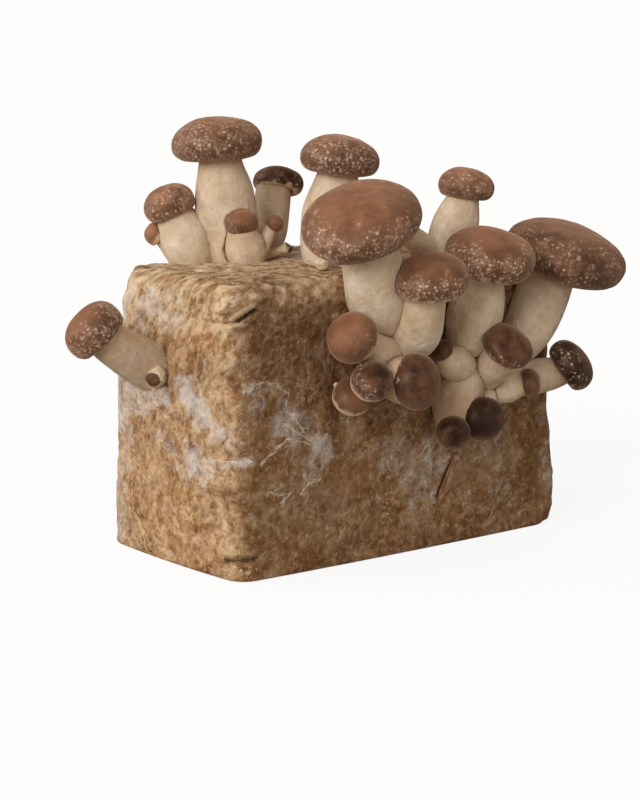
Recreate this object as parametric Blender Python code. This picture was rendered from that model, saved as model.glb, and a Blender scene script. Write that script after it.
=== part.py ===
"""A sawdust growing block in full fruit with shiitake mushrooms.

The block is one solid that stands on its flat underside.  Every mushroom has a
stem that grows out of the block's top, its long front face or its left end, and
a cap on the stem.  Three buds are so young that cap and stem are one piece.
"""

import math

import bmesh
import bpy
from mathutils import Quaternion, Vector, noise
from mathutils.bvhtree import BVHTree

MM = 0.001

# Growing block
BLOCK_LENGTH = 203 * MM
BLOCK_DEPTH = 109 * MM
BLOCK_HEIGHT = 138 * MM
BLOCK_CORNER = 10.5 * MM
FACE_BULGE = 1.5 * MM
FOOT_ROUND = 2 * MM
SHOULDER_ROUND = 9 * MM
SHOULDER_LEAN = 3.5 * MM
TOP_CROWN = 2.5 * MM
WAVE_DEPTH = 1.6 * MM
WAVE_LENGTH = 55 * MM
WAVE_START = 6 * MM
WAVE_SEED = 1795839524

CORNER_STEPS = 3
LONG_SIDE_STEPS = 6
SHORT_SIDE_STEPS = 4
ROUND_STEPS = 3
WALL_STEPS = 4
CROWN_STEPS = 3

# Clearance between pieces that touch, the shortest edge that a cut may leave, the share
# of a piece's volume that only a failed cut falls below, how far inside a cutter a point
# of a failed cut lies, and how deep a stem is rooted
GAP = 0.35 * MM
MERGE = 0.03 * MM
FAILED_CUT = 0.1
DEEP = 0.5 * MM
ROOT_DEPTH = 5 * MM

# Cap outline: share of the thickness above the widest circle, fullness of the dome,
# width of the rim's lowest circle, width of the gills inside it and their height above it
DOME_SHARE = 0.62
DOME_FULLNESS = 2.15
RIM_WIDTH = 0.72
GILL_WIDTH = 0.8
GILL_RISE = 0.55

# Stem: share of its length below the belly, pull of the face that it grows from, and
# how far its lower and upper end run straight, as shares of its length
BELLY_AT = 0.4
FACE_PULL = 0.5
ROOT_PULL = 0.35
CAP_PULL = 0.3

LARGE_CAP = 30 * MM
CAP_SIDES = {True: 16, False: 10}
DOME_STEPS = {True: 4, False: 3}
LIP_STEPS = 2
STEM_SIDES = {True: 10, False: 7}
STEM_RINGS = {True: 6, False: 4}
BUD_SIDES = 8

COLOURS = {
    "substrate": ((0.36, 0.22, 0.11), 0.9),
    "cap_skin": ((0.16, 0.085, 0.06), 0.6),
    "stem_flesh": ((0.62, 0.52, 0.40), 0.75),
}


def mushroom(name, root, seat, cap, tilt, stem, shift=(0, 0, 0)):
    """Sizes of one mushroom, given in millimetres and degrees.

    root is where the stem leaves the block and seat the centre of the cap's widest
    circle.  cap is its width and thickness, tilt the cap's angle from upright and
    its heading (0 is +X, 90 is +Y), and stem the widths at foot, belly and neck.
    shift moves the stem's top off the cap's centre.
    """
    angle, heading = (math.radians(degrees) for degrees in tilt)
    return {
        "name": name,
        "root": Vector(root) * MM,
        "seat": Vector(seat) * MM,
        "neck": (Vector(seat) + Vector(shift)) * MM,
        "width": cap[0] * MM,
        "thickness": cap[1] * MM,
        "axis": Vector((
            math.sin(angle) * math.cos(heading),
            math.sin(angle) * math.sin(heading),
            math.cos(angle),
        )),
        "stem": [width * MM for width in stem],
    }


# The clusters, front pieces first: a later piece gives way to an earlier one.
MUSHROOMS = [
    mushroom("oval_front", (-5, -54, 98), (-14, -88, 140), (36, 18), (18, -146), (13, 25, 18),
             shift=(-2.7, 2.1, 0)),
    mushroom("button_centre", (6, -54, 87), (-21.3, -86, 91.8), (27.5, 17), (86, -68), (15, 21, 22.5),
             shift=(-2, 1.5, 0.5)),
    mushroom("button_lower", (-10, -54, 92), (-45, -82, 94), (20, 14), (59, -104), (11, 12, 12)),
    mushroom("button_left", (-9, -54, 98), (-50, -74, 114), (25, 17), (53, -174), (18, 17, 16)),
    mushroom("button_under", (-18, -54, 87), (-46, -69, 85), (19, 12), (57, -106), (10, 11, 12)),
    mushroom("big_front", (-18, -54, 111), (-44, -73, 167.2), (57.5, 21.5), (28, -156), (17, 30, 25)),
    mushroom("button_right", (47, -54, 82), (39.6, -82.3, 101.4), (26, 12), (42, -91), (18, 18, 16)),
    mushroom("middle_right", (33, -54, 95), (35, -74, 144.5), (45, 21.5), (13, -95), (13, 27, 18),
             shift=(-1.6, 1.2, 0)),
    mushroom("brown_low", (34, -54, 84), (13.3, -73, 61), (17, 12), (108, -112), (24, 24, 13)),
    mushroom("dark_low", (49, -54, 74), (31, -75, 66), (22, 13), (85, -99), (12, 14, 13)),
    mushroom("tucked", (34, -54, 88), (9, -69, 101), (12, 8), (34, 180), (17, 18, 9)),
    mushroom("side_right", (57, -54, 79), (92.6, -71, 84.8), (27, 15.5), (56, -43), (17, 18, 14)),
    mushroom("bud_right", (55, -54, 77), (65, -71, 79), (14, 8), (76, -46), (20, 18, 9)),
    mushroom("broad_right", (68, -54, 92), (97, -62, 139), (62, 23.5), (20, -68), (20, 26, 27.5),
             shift=(-7.5, 0.4, 0)),
    mushroom("round_left", (-46, 12, 138), (-51, 10, 159), (16, 11), (9, -128), (16, 20, 13)),
    mushroom("bud_left", (-41.5, 13, 138), (-34, 6, 158), (9, 7), (39, -49), (10, 9, 6)),
    mushroom("leaning_left", (-59.4, 34.5, 137), (-72.5, 40, 167.3), (26, 15), (22, 147), (22, 27, 15)),
    mushroom("hidden_left", (-67, 40, 136), (-75.3, 47.1, 152.3), (12.5, 9), (49, 145), (6, 8, 7)),
    mushroom("tall_left", (-45, 26, 138), (-54.1, 26.2, 197.2), (44.5, 20.3), (3, 140), (28, 30.5, 18.5),
             shift=(1, -1, 0)),
    mushroom("back_left", (-14.2, 37, 137), (-12.5, 31, 174.5), (25.5, 12), (26, 36), (9, 18, 17.5),
             shift=(-1.4, 1.1, 0)),
    mushroom("tall_middle", (-19, -13, 138), (-11.1, -16.3, 190), (39.5, 18), (5, -51), (19, 28.5, 18)),
    mushroom("tall_back", (48.4, -26.6, 138), (61.5, -26.5, 172.5), (28.5, 15), (9, -35), (21, 23.5, 14.5)),
    mushroom("hidden_middle", (42, -24, 138), (20, -26, 157), (14, 10), (20, 141), (11, 12, 10)),
    mushroom("lone_side", (-100, 18, 94), (-135.2, 13.1, 114.8), (30.3, 18.3), (46, 152), (25, 21.5, 17.5),
             shift=(0.5, -0.4, 0.6)),
]

# Buds in one piece: name, root, tip, width of the stalk and of the head
BUDS = [
    ("bud_lying", (-38, 17, 139), (-25, 8.5, 145), 4, 5.5),
    ("bud_middle", (-27, -23, 139), (-31, -28, 142), 5, 7),
    ("bud_side", (-100, 10, 92), (-104, 7.5, 90.5), 10, 11),
]


def clear_scene():
    """Remove every object, so that only the model is left."""
    for thing in list(bpy.data.objects):
        bpy.data.objects.remove(thing, do_unlink=True)


def material(name):
    """The plain material of one of the three substances."""
    colour, roughness = COLOURS[name]
    surface = bpy.data.materials.get(name) or bpy.data.materials.new(name)
    surface.use_nodes = True
    shader = surface.node_tree.nodes["Principled BSDF"]
    shader.inputs["Base Color"].default_value = (*colour, 1)
    shader.inputs["Roughness"].default_value = roughness
    shader.inputs["Metallic"].default_value = 0
    return surface


def face_outwards(bm):
    """Point all faces of a closed solid out of it."""
    bmesh.ops.recalc_face_normals(bm, faces=bm.faces)
    if bm.calc_volume(signed=True) < 0:
        bmesh.ops.reverse_faces(bm, faces=bm.faces)


def new_object(name, bm, surface):
    """Turn a bmesh into a smooth-shaded object with its own copy of a material."""
    face_outwards(bm)
    mesh = bpy.data.meshes.new(name)
    bm.to_mesh(mesh)
    bm.free()
    own = material(surface).copy()
    own.name = name
    mesh.materials.append(own)
    mesh.shade_smooth()
    mesh.set_sharp_from_angle(angle=math.radians(50))
    thing = bpy.data.objects.new(name, mesh)
    bpy.context.collection.objects.link(thing)
    return thing


def block_outline(grow):
    """Points of the block's rounded rectangle in plan, counter-clockwise."""
    half_x = BLOCK_LENGTH / 2 + grow
    half_y = BLOCK_DEPTH / 2 + grow
    corner = BLOCK_CORNER + grow
    points = []
    for quarter in range(4):
        middle = math.radians(45 + 90 * quarter)
        centre_x = math.copysign(half_x - corner, math.cos(middle))
        centre_y = math.copysign(half_y - corner, math.sin(middle))
        for step in range(CORNER_STEPS + 1):
            angle = math.radians(90) * (quarter + step / CORNER_STEPS)
            points.append((centre_x + corner * math.cos(angle), centre_y + corner * math.sin(angle)))
        side_steps = SHORT_SIDE_STEPS if quarter % 2 else LONG_SIDE_STEPS
        start = points[-1]
        turn = math.radians(90) * (quarter + 1)
        run = 2 * ((half_y if quarter % 2 else half_x) - corner)
        for step in range(1, side_steps):
            along = run * step / side_steps
            bulge = FACE_BULGE * (1 - (2 * step / side_steps - 1) ** 2)
            points.append((
                start[0] - along * math.sin(turn) + bulge * math.cos(turn),
                start[1] + along * math.cos(turn) + bulge * math.sin(turn),
            ))
    return points


def block_levels(grow):
    """Height and inset of each ring, from the underside to the edge of the crown."""
    levels = []
    for step in range(ROUND_STEPS + 1):
        angle = math.radians(90) * step / ROUND_STEPS
        levels.append((FOOT_ROUND * (1 - math.cos(angle)), FOOT_ROUND * (1 - math.sin(angle))))
    wall = BLOCK_HEIGHT - FOOT_ROUND - SHOULDER_ROUND
    for step in range(1, WALL_STEPS + 1):
        share = step / WALL_STEPS
        levels.append((FOOT_ROUND + wall * share, SHOULDER_LEAN * share ** 3))
    for step in range(1, ROUND_STEPS + 1):
        angle = math.radians(85) * step / ROUND_STEPS
        levels.append((
            BLOCK_HEIGHT - SHOULDER_ROUND * (1 - math.sin(angle)),
            SHOULDER_LEAN + SHOULDER_ROUND * (1 - math.cos(angle)),
        ))
    top_inset = levels[-1][1]
    for step in range(1, CROWN_STEPS + 1):
        share = step / (CROWN_STEPS + 1)
        inset = top_inset + (BLOCK_DEPTH / 2 - top_inset) * share
        levels.append((BLOCK_HEIGHT + TOP_CROWN * math.sin(math.radians(90) * share), inset))
    return [(height + (grow if height > BLOCK_HEIGHT / 2 else -grow), inset) for height, inset in levels]


def sagged(point, grow):
    """Move a point of the block sideways by the slow waves of its pressed sawdust."""
    start = smooth((point.z + grow) / WAVE_START)
    wave = noise.noise_vector(point / WAVE_LENGTH)
    return point + Vector((wave.x, wave.y, 0)) * WAVE_DEPTH * start


def smooth(share):
    """Ease from 0 to 1."""
    share = min(max(share, 0), 1)
    return share * share * (3 - 2 * share)


def block_mesh(grow=0):
    """The block, raised ring by ring from its outline."""
    bm = bmesh.new()
    levels = block_levels(grow)
    outline = block_outline(grow)
    ring = []
    for number, (height, inset) in enumerate(levels):
        scale_x = 1 - inset / (BLOCK_LENGTH / 2)
        scale_y = 1 - inset / (BLOCK_DEPTH / 2)
        level = [bm.verts.new(sagged(Vector((x * scale_x, y * scale_y, height)), grow)) for x, y in outline]
        if number == 0:
            bm.faces.new(list(reversed(level)))
        for index in range(len(ring)):
            following = (index + 1) % len(ring)
            bm.faces.new((ring[index], ring[following], level[following], level[index]))
        ring = level
    bm.faces.new(ring)
    return bm


def cap_profile(width, thickness, grow=0):
    """Radius and height of a cap's outline, from the crown to the middle of the gills."""
    large = width >= LARGE_CAP
    radius = width / 2 + grow
    rim = width / 2 * RIM_WIDTH - grow / 2
    dome = thickness * DOME_SHARE + grow
    lip = thickness * (1 - DOME_SHARE) + grow
    gills = lip * (GILL_RISE - 1) - grow
    power = 2 / DOME_FULLNESS
    points = []
    for step in range(DOME_STEPS[large] + 1):
        angle = math.radians(90) * step / DOME_STEPS[large]
        points.append((radius * math.sin(angle) ** power, dome * math.cos(angle) ** power))
    for step in range(1, LIP_STEPS + 1):
        angle = math.radians(90) * step / LIP_STEPS
        points.append((rim + (radius - rim) * math.cos(angle), -lip * math.sin(angle)))
    points.append((rim * GILL_WIDTH - grow, gills))
    points.append((0, gills))
    return points


def turned(points, sides):
    """A closed solid turned about the Z axis, its facets touching the true round form from outside."""
    bm = bmesh.new()
    outside = 1 / math.cos(math.pi / sides)
    row = [bm.verts.new((radius * outside, 0, height)) for radius, height in points]
    edges = [bm.edges.new(pair) for pair in zip(row, row[1:])]
    bmesh.ops.spin(
        bm, geom=row + edges, cent=(0, 0, 0), axis=(0, 0, 1),
        angle=math.radians(360), steps=sides, use_merge=True,
    )
    bmesh.ops.remove_doubles(bm, verts=bm.verts, dist=0.001 * MM)
    return bm


def cap_mesh(shape, grow=0):
    """A cap, tilted along its axis on its seat."""
    large = shape["width"] >= LARGE_CAP
    bm = turned(cap_profile(shape["width"], shape["thickness"], grow), CAP_SIDES[large])
    turn = Vector((0, 0, 1)).rotation_difference(shape["axis"])
    for vertex in bm.verts:
        vertex.co = turn @ vertex.co + shape["seat"]
    return bm


def face_normal(root):
    """Direction out of the block at a stem's root."""
    if root.z > BLOCK_HEIGHT - SHOULDER_ROUND / 2:
        return Vector((0, 0, 1))
    if root.x < -BLOCK_LENGTH / 2 + SHOULDER_ROUND / 2:
        return Vector((-1, 0, 0))
    return Vector((0, -1, 0))


def spine(shape, share):
    """Point and direction on a stem's curved middle line, from root 0 to cap 1."""
    root, neck, axis = shape["root"], shape["neck"], shape["axis"]
    length = (neck - root).length
    start = ((neck - root).normalized() + face_normal(root) * FACE_PULL).normalized()
    handles = (root, root + start * length * ROOT_PULL, neck - axis * length * CAP_PULL, neck)
    rest = 1 - share
    weights = (rest ** 3, 3 * rest ** 2 * share, 3 * rest * share ** 2, share ** 3)
    point = sum((handle * weight for handle, weight in zip(handles, weights)), Vector())
    slopes = (rest ** 2, 2 * rest * share, share ** 2)
    steps = zip(handles, handles[1:])
    direction = sum(((after - before) * slope for (before, after), slope in zip(steps, slopes)), Vector())
    return point, direction.normalized()


def stem_radius(shape, share):
    """Radius of a stem, which swells from its foot to a belly and thins to the neck."""
    foot, belly, neck = (width / 2 for width in shape["stem"])
    if share < BELLY_AT:
        return foot + (belly - foot) * math.sin(math.radians(90) * share / BELLY_AT)
    return belly + (neck - belly) * smooth((share - BELLY_AT) / (1 - BELLY_AT))


def stations(shape, rings):
    """Middle point and turn of each ring of a stem, turned on from ring to ring without a twist."""
    places = []
    turn = Quaternion()
    heading = Vector((0, 0, 1))
    for step in range(rings + 1):
        point, direction = spine(shape, step / rings)
        turn = heading.rotation_difference(direction) @ turn
        heading = direction
        places.append((point, turn))
    return places


def stem_mesh(shape, grow=0):
    """A stem, turned straight and then bent along its spine, rooted inside the block."""
    large = shape["width"] >= LARGE_CAP
    rings = STEM_RINGS[large]
    shares = [step / rings for step in range(rings + 1)]
    profile = [(0, -1)] + [(stem_radius(shape, share) + grow, share) for share in shares] + [(0, 1)]
    foot_radius = profile[1][0]
    profile.insert(1, (foot_radius * 0.8, -1))
    bm = turned(profile, STEM_SIDES[large])
    places = stations(shape, rings)
    for vertex in bm.verts:
        step = max(round(vertex.co.z * rings), 0)
        point, turn = places[step]
        below = -ROOT_DEPTH if vertex.co.z < 0 else 0
        vertex.co = point + turn @ Vector((vertex.co.x, vertex.co.y, below))
    return bm


def bud_mesh(root, tip, stalk, head, grow=0):
    """A young bud: a short stalk with a round head that it has not yet parted from."""
    root = Vector(root) * MM
    tip = Vector(tip) * MM
    length = (tip - root).length
    stalk_radius = stalk * MM / 2 + grow
    head_radius = head * MM / 2 + grow
    profile = [(0, -ROOT_DEPTH), (stalk_radius, -ROOT_DEPTH), (stalk_radius, length - head_radius * 0.9)]
    for degrees in (-25, 0, 30, 60):
        angle = math.radians(degrees)
        profile.append((head_radius * math.cos(angle), length + head_radius * math.sin(angle)))
    profile.append((0, length + head_radius))
    bm = turned(profile, BUD_SIDES)
    turn = Vector((0, 0, 1)).rotation_difference((tip - root).normalized())
    for vertex in bm.verts:
        vertex.co = turn @ vertex.co + root
    return bm


def corners(bm):
    """Lowest and highest corner of a bmesh."""
    lows = Vector([min(vertex.co[axis] for vertex in bm.verts) for axis in range(3)])
    highs = Vector([max(vertex.co[axis] for vertex in bm.verts) for axis in range(3)])
    return lows, highs


def boxes_meet(first, second):
    """Whether two boxes share any space."""
    return all(first[0][axis] < second[1][axis] and second[0][axis] < first[1][axis] for axis in range(3))


def island_volume(island):
    """Volume inside one closed group of vertices, from cones down to the origin."""
    volume = 0
    for face in {face for vertex in island for face in vertex.link_faces}:
        first, *others = [loop.vert.co for loop in face.loops]
        for second, third in zip(others, others[1:]):
            volume += first.dot(second.cross(third)) / 6
    return volume


def keep_largest(mesh):
    """Drop the slivers that a cut leaves beside the main solid, and merge its shortest edges."""
    bm = bmesh.new()
    bm.from_mesh(mesh)
    waiting = set(bm.verts)
    islands = []
    while waiting:
        island = set()
        edge_of_island = [waiting.pop()]
        while edge_of_island:
            vertex = edge_of_island.pop()
            island.add(vertex)
            for edge in vertex.link_edges:
                other = edge.other_vert(vertex)
                if other in waiting:
                    waiting.remove(other)
                    edge_of_island.append(other)
        islands.append(island)
    islands.sort(key=island_volume)
    for island in islands[:-1]:
        bmesh.ops.delete(bm, geom=list(island), context="VERTS")
    bmesh.ops.remove_doubles(bm, verts=bm.verts, dist=MERGE)
    bmesh.ops.dissolve_degenerate(bm, edges=bm.edges, dist=MERGE)
    face_outwards(bm)
    bm.to_mesh(mesh)
    bm.free()


def mesh_volume(mesh):
    """Volume of a mesh."""
    bm = bmesh.new()
    bm.from_mesh(mesh)
    volume = bm.calc_volume()
    bm.free()
    return volume


def less(thing, cutter, solver):
    """The mesh that is left of a piece when a cutter is taken from it."""
    boolean = thing.modifiers.new("neighbour", "BOOLEAN")
    boolean.operation = "DIFFERENCE"
    boolean.solver = solver
    boolean.object = cutter
    graph = bpy.context.evaluated_depsgraph_get()
    mesh = bpy.data.meshes.new_from_object(thing.evaluated_get(graph))
    thing.modifiers.clear()
    keep_largest(mesh)
    return mesh


def deep_points(surface, points):
    """How many points lie deep inside a closed surface."""
    tree = BVHTree.FromBMesh(surface)
    count = 0
    for point in points:
        place, normal, _, distance = tree.find_nearest(point)
        if distance > DEEP and (point - place).dot(normal) < -0.7 * distance:
            count += 1
    return count


def faults(mesh, cutter, volume):
    """How badly a cut has failed: open edges, a lost body or space still shared with the cutter."""
    left = bmesh.new()
    left.from_mesh(mesh)
    taken = bmesh.new()
    taken.from_mesh(cutter.data)
    count = sum(len(edge.link_faces) != 2 for edge in left.edges)
    if left.calc_volume() < volume * FAILED_CUT:
        count += len(taken.verts)
    if left.faces:
        count += deep_points(taken, [vertex.co for vertex in left.verts])
        count += deep_points(left, [vertex.co for vertex in taken.verts])
    left.free()
    taken.free()
    return count


def cut(thing, cutters):
    """Cut a piece by the slightly grown copies of its neighbours.

    A cut that has failed is made again, and the soundest of the tries is kept.
    """
    for cutter in cutters:
        volume = mesh_volume(thing.data)
        tries = []
        for solver in ("EXACT", "MANIFOLD", "EXACT"):
            mesh = less(thing, cutter, solver)
            tries.append((faults(mesh, cutter, volume), len(tries), mesh))
            if tries[-1][0] == 0:
                break
        mesh = min(tries)[2]
        mesh.name = thing.name
        thing.data = mesh


def piece_list():
    """Every piece as name, substance and the function that shapes it, first come first kept."""
    pieces = [("substrate_block", "substrate", block_mesh)]
    for shape in MUSHROOMS:
        make = lambda grow=0, shape=shape: cap_mesh(shape, grow)
        pieces.append(("cap_" + shape["name"], "cap_skin", make))
    for shape in MUSHROOMS:
        make = lambda grow=0, shape=shape: stem_mesh(shape, grow)
        pieces.append(("stem_" + shape["name"], "stem_flesh", make))
    for name, *sizes in BUDS:
        pieces.append((name, "stem_flesh", lambda grow=0, sizes=sizes: bud_mesh(*sizes, grow)))
    return pieces


def build():
    """Make every piece and part each from the pieces before it in the list."""
    noise.seed_set(WAVE_SEED)
    clear_scene()
    made = []
    for name, substance, shaper in piece_list():
        bm = shaper()
        box = corners(bm)
        thing = new_object(name, bm, substance)
        cutters = [cutter for cutter, cutter_box in made if boxes_meet(box, cutter_box)]
        if cutters:
            cut(thing, cutters)
        grown = shaper(GAP)
        grown_box = corners(grown)
        cutter = new_object("cutter_" + name, grown, substance)
        cutter.display_type = "WIRE"
        cutter.hide_render = True
        made.append((cutter, grown_box))
    for cutter, _ in made:
        bpy.data.objects.remove(cutter, do_unlink=True)


build()
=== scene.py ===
"""The finished surfaces of a sawdust growing block in full fruit with shiitake mushrooms.

Sizes are in millimetres and angles in degrees, and a finished mesh is brought to metres.
The sizes of the block, the caps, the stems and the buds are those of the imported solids.
"""

import math
import random

import bmesh
import bpy
import numpy as np
from mathutils import Matrix, Quaternion, Vector, noise
from mathutils.bvhtree import BVHTree


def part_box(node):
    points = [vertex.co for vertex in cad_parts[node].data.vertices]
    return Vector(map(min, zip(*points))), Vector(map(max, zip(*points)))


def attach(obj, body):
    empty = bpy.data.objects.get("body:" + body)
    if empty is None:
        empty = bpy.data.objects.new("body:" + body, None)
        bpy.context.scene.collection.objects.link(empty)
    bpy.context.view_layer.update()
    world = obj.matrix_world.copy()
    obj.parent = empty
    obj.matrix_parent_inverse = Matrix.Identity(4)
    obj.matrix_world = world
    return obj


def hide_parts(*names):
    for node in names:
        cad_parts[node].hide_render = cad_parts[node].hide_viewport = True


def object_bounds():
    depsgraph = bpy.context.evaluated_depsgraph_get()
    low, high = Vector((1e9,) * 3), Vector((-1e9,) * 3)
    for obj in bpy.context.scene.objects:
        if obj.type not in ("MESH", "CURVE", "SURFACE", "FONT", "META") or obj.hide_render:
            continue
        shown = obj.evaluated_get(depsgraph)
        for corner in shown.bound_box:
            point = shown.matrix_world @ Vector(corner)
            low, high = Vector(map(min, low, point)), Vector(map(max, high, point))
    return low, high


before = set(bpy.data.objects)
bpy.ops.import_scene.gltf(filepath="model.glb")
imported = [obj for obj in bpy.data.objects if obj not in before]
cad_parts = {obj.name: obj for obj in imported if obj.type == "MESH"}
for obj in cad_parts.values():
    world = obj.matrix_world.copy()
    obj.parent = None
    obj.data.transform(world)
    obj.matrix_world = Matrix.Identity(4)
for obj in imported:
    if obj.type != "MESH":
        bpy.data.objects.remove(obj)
solid_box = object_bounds()

MM = 0.001
MERGE = 0.002

# Growing block
BLOCK_LENGTH = 203
BLOCK_DEPTH = 109
BLOCK_HEIGHT = 138
BLOCK_CORNER = 10.5
FACE_BULGE = 1.5
FOOT_ROUND = 2
SHOULDER_ROUND = 9
SHOULDER_LEAN = 3.5
TOP_CROWN = 2.5
WAVE_DEPTH = 1.6
WAVE_LENGTH = 55
WAVE_START = 6
WAVE_SEED = 1795839524
BLOCK_GRAIN = 1.08
BEND_LENGTH = 22
BEND_DEPTH = 7

# Cap outline, as shares of its thickness, of its width, of its rim and of its lip
DOME_SHARE = 0.62
DOME_FULLNESS = 2.15
RIM_WIDTH = 0.72
ROLL = 0.3
GILL_WIDTH = 0.8
GILL_RISE = 0.55
CAP_GRAIN = 0.55
VEILED_WIDTH = 21

# The way that sawdust streaks and folds run: it comes out aslant on every face of the block
GRAIN_WAY = (1, -1, 1)

# Stem
BELLY_AT = 0.4
FACE_PULL = 0.5
ROOT_PULL = 0.35
CAP_PULL = 0.3
ROOT_DEPTH = 4
STEM_GRAIN = 0.7

# Bud
BUD_SIDES = 32

# Clearance of neighbours that press on each other, and how often their contact is evened out
GAP = 0.15
RELAXED_TIMES = 4

# Loose things on the block: how many, and how far they are strewn. One crumb in
# CRUMBS_AT_FOOT lies about the torn foot corner.
THREAD_STRANDS = 5
FIBRE_COUNT = 800
CRUMB_COUNT = 420
CRUMBS_AT_FOOT = 3
STREWN_X = (-98, 98)
STREWN_Y = (-50, 50)
FIBRE_Z = (4, 134)
CRUMB_Z = (3, 130)
EDGE_CLEARANCE = 0.2

# Splinter: its length and the x and z of its ends on the long front
SPLINTER_LENGTH = 20
SPLINTER_ENDS = ((30, 43), (21, 26))

# Camera, set where the block's edges run as they do in the picture
CAMERA_TURN = -38.35
CAMERA_RISE = 10.96
CAMERA_LENS = 117
CAMERA_DISTANCE = 1297
CAMERA_AIM = (-7.45, 3.9, 67.7)

# Floor and backdrop: how bright they are, and the backdrop's colour
FLOOR_RADIUS = 30
FLOOR_SHADE = 0.14
FLOOR_GLOW = 0.87
BACKDROP_STRENGTH = 0.36
BACKDROP_COLOUR = (1.0, 0.88, 0.74, 1)

# Lamps: name, energy, how wide the light spreads, and the way to it
LAMPS = [
    ("key", 2.0, 32, (-0.84, -0.34, 0.40)),
    ("side", 1.1, 30, (-0.72, 0.62, 0.30)),
    ("fill", 0.5, 60, (0.15, -1.0, 0.2)),
    ("overhead", 0.3, 90, (-0.2, 0.1, 1)),
]


def mushroom(name, root, seat, cap, tilt, stem, shift=(0, 0, 0), tone=0.5, veil=0.1, flecks=0.6,
             net=0.0, tan=0.1):
    """Sizes of one mushroom, as its solids have them, and the look of its skin.

    root is where the stem leaves the block and seat the centre of the cap's widest
    circle. cap is its width and thickness, tilt the cap's angle from upright and
    its heading, and stem the widths at foot, belly and neck. shift moves the stem's
    top off the cap's centre. tone is how pale the skin is, veil how far the pale
    remains of the veil reach up from the rim, flecks how many pale scales it has, and
    net how clear the pale net between its dark cells is. tan is how brown the stem is, partly its own
    colour and partly painted shade for stems that stand in the shade of others.
    """
    angle, heading = (math.radians(degrees) for degrees in tilt)
    return {
        "name": name,
        "root": Vector(root),
        "seat": Vector(seat),
        "neck": Vector(seat) + Vector(shift),
        "width": cap[0],
        "thickness": cap[1],
        "axis": Vector((
            math.sin(angle) * math.cos(heading),
            math.sin(angle) * math.sin(heading),
            math.cos(angle),
        )),
        "stem": stem,
        "tone": tone,
        "veil": veil,
        "flecks": flecks,
        "net": net,
        "tan": tan,
    }


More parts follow.
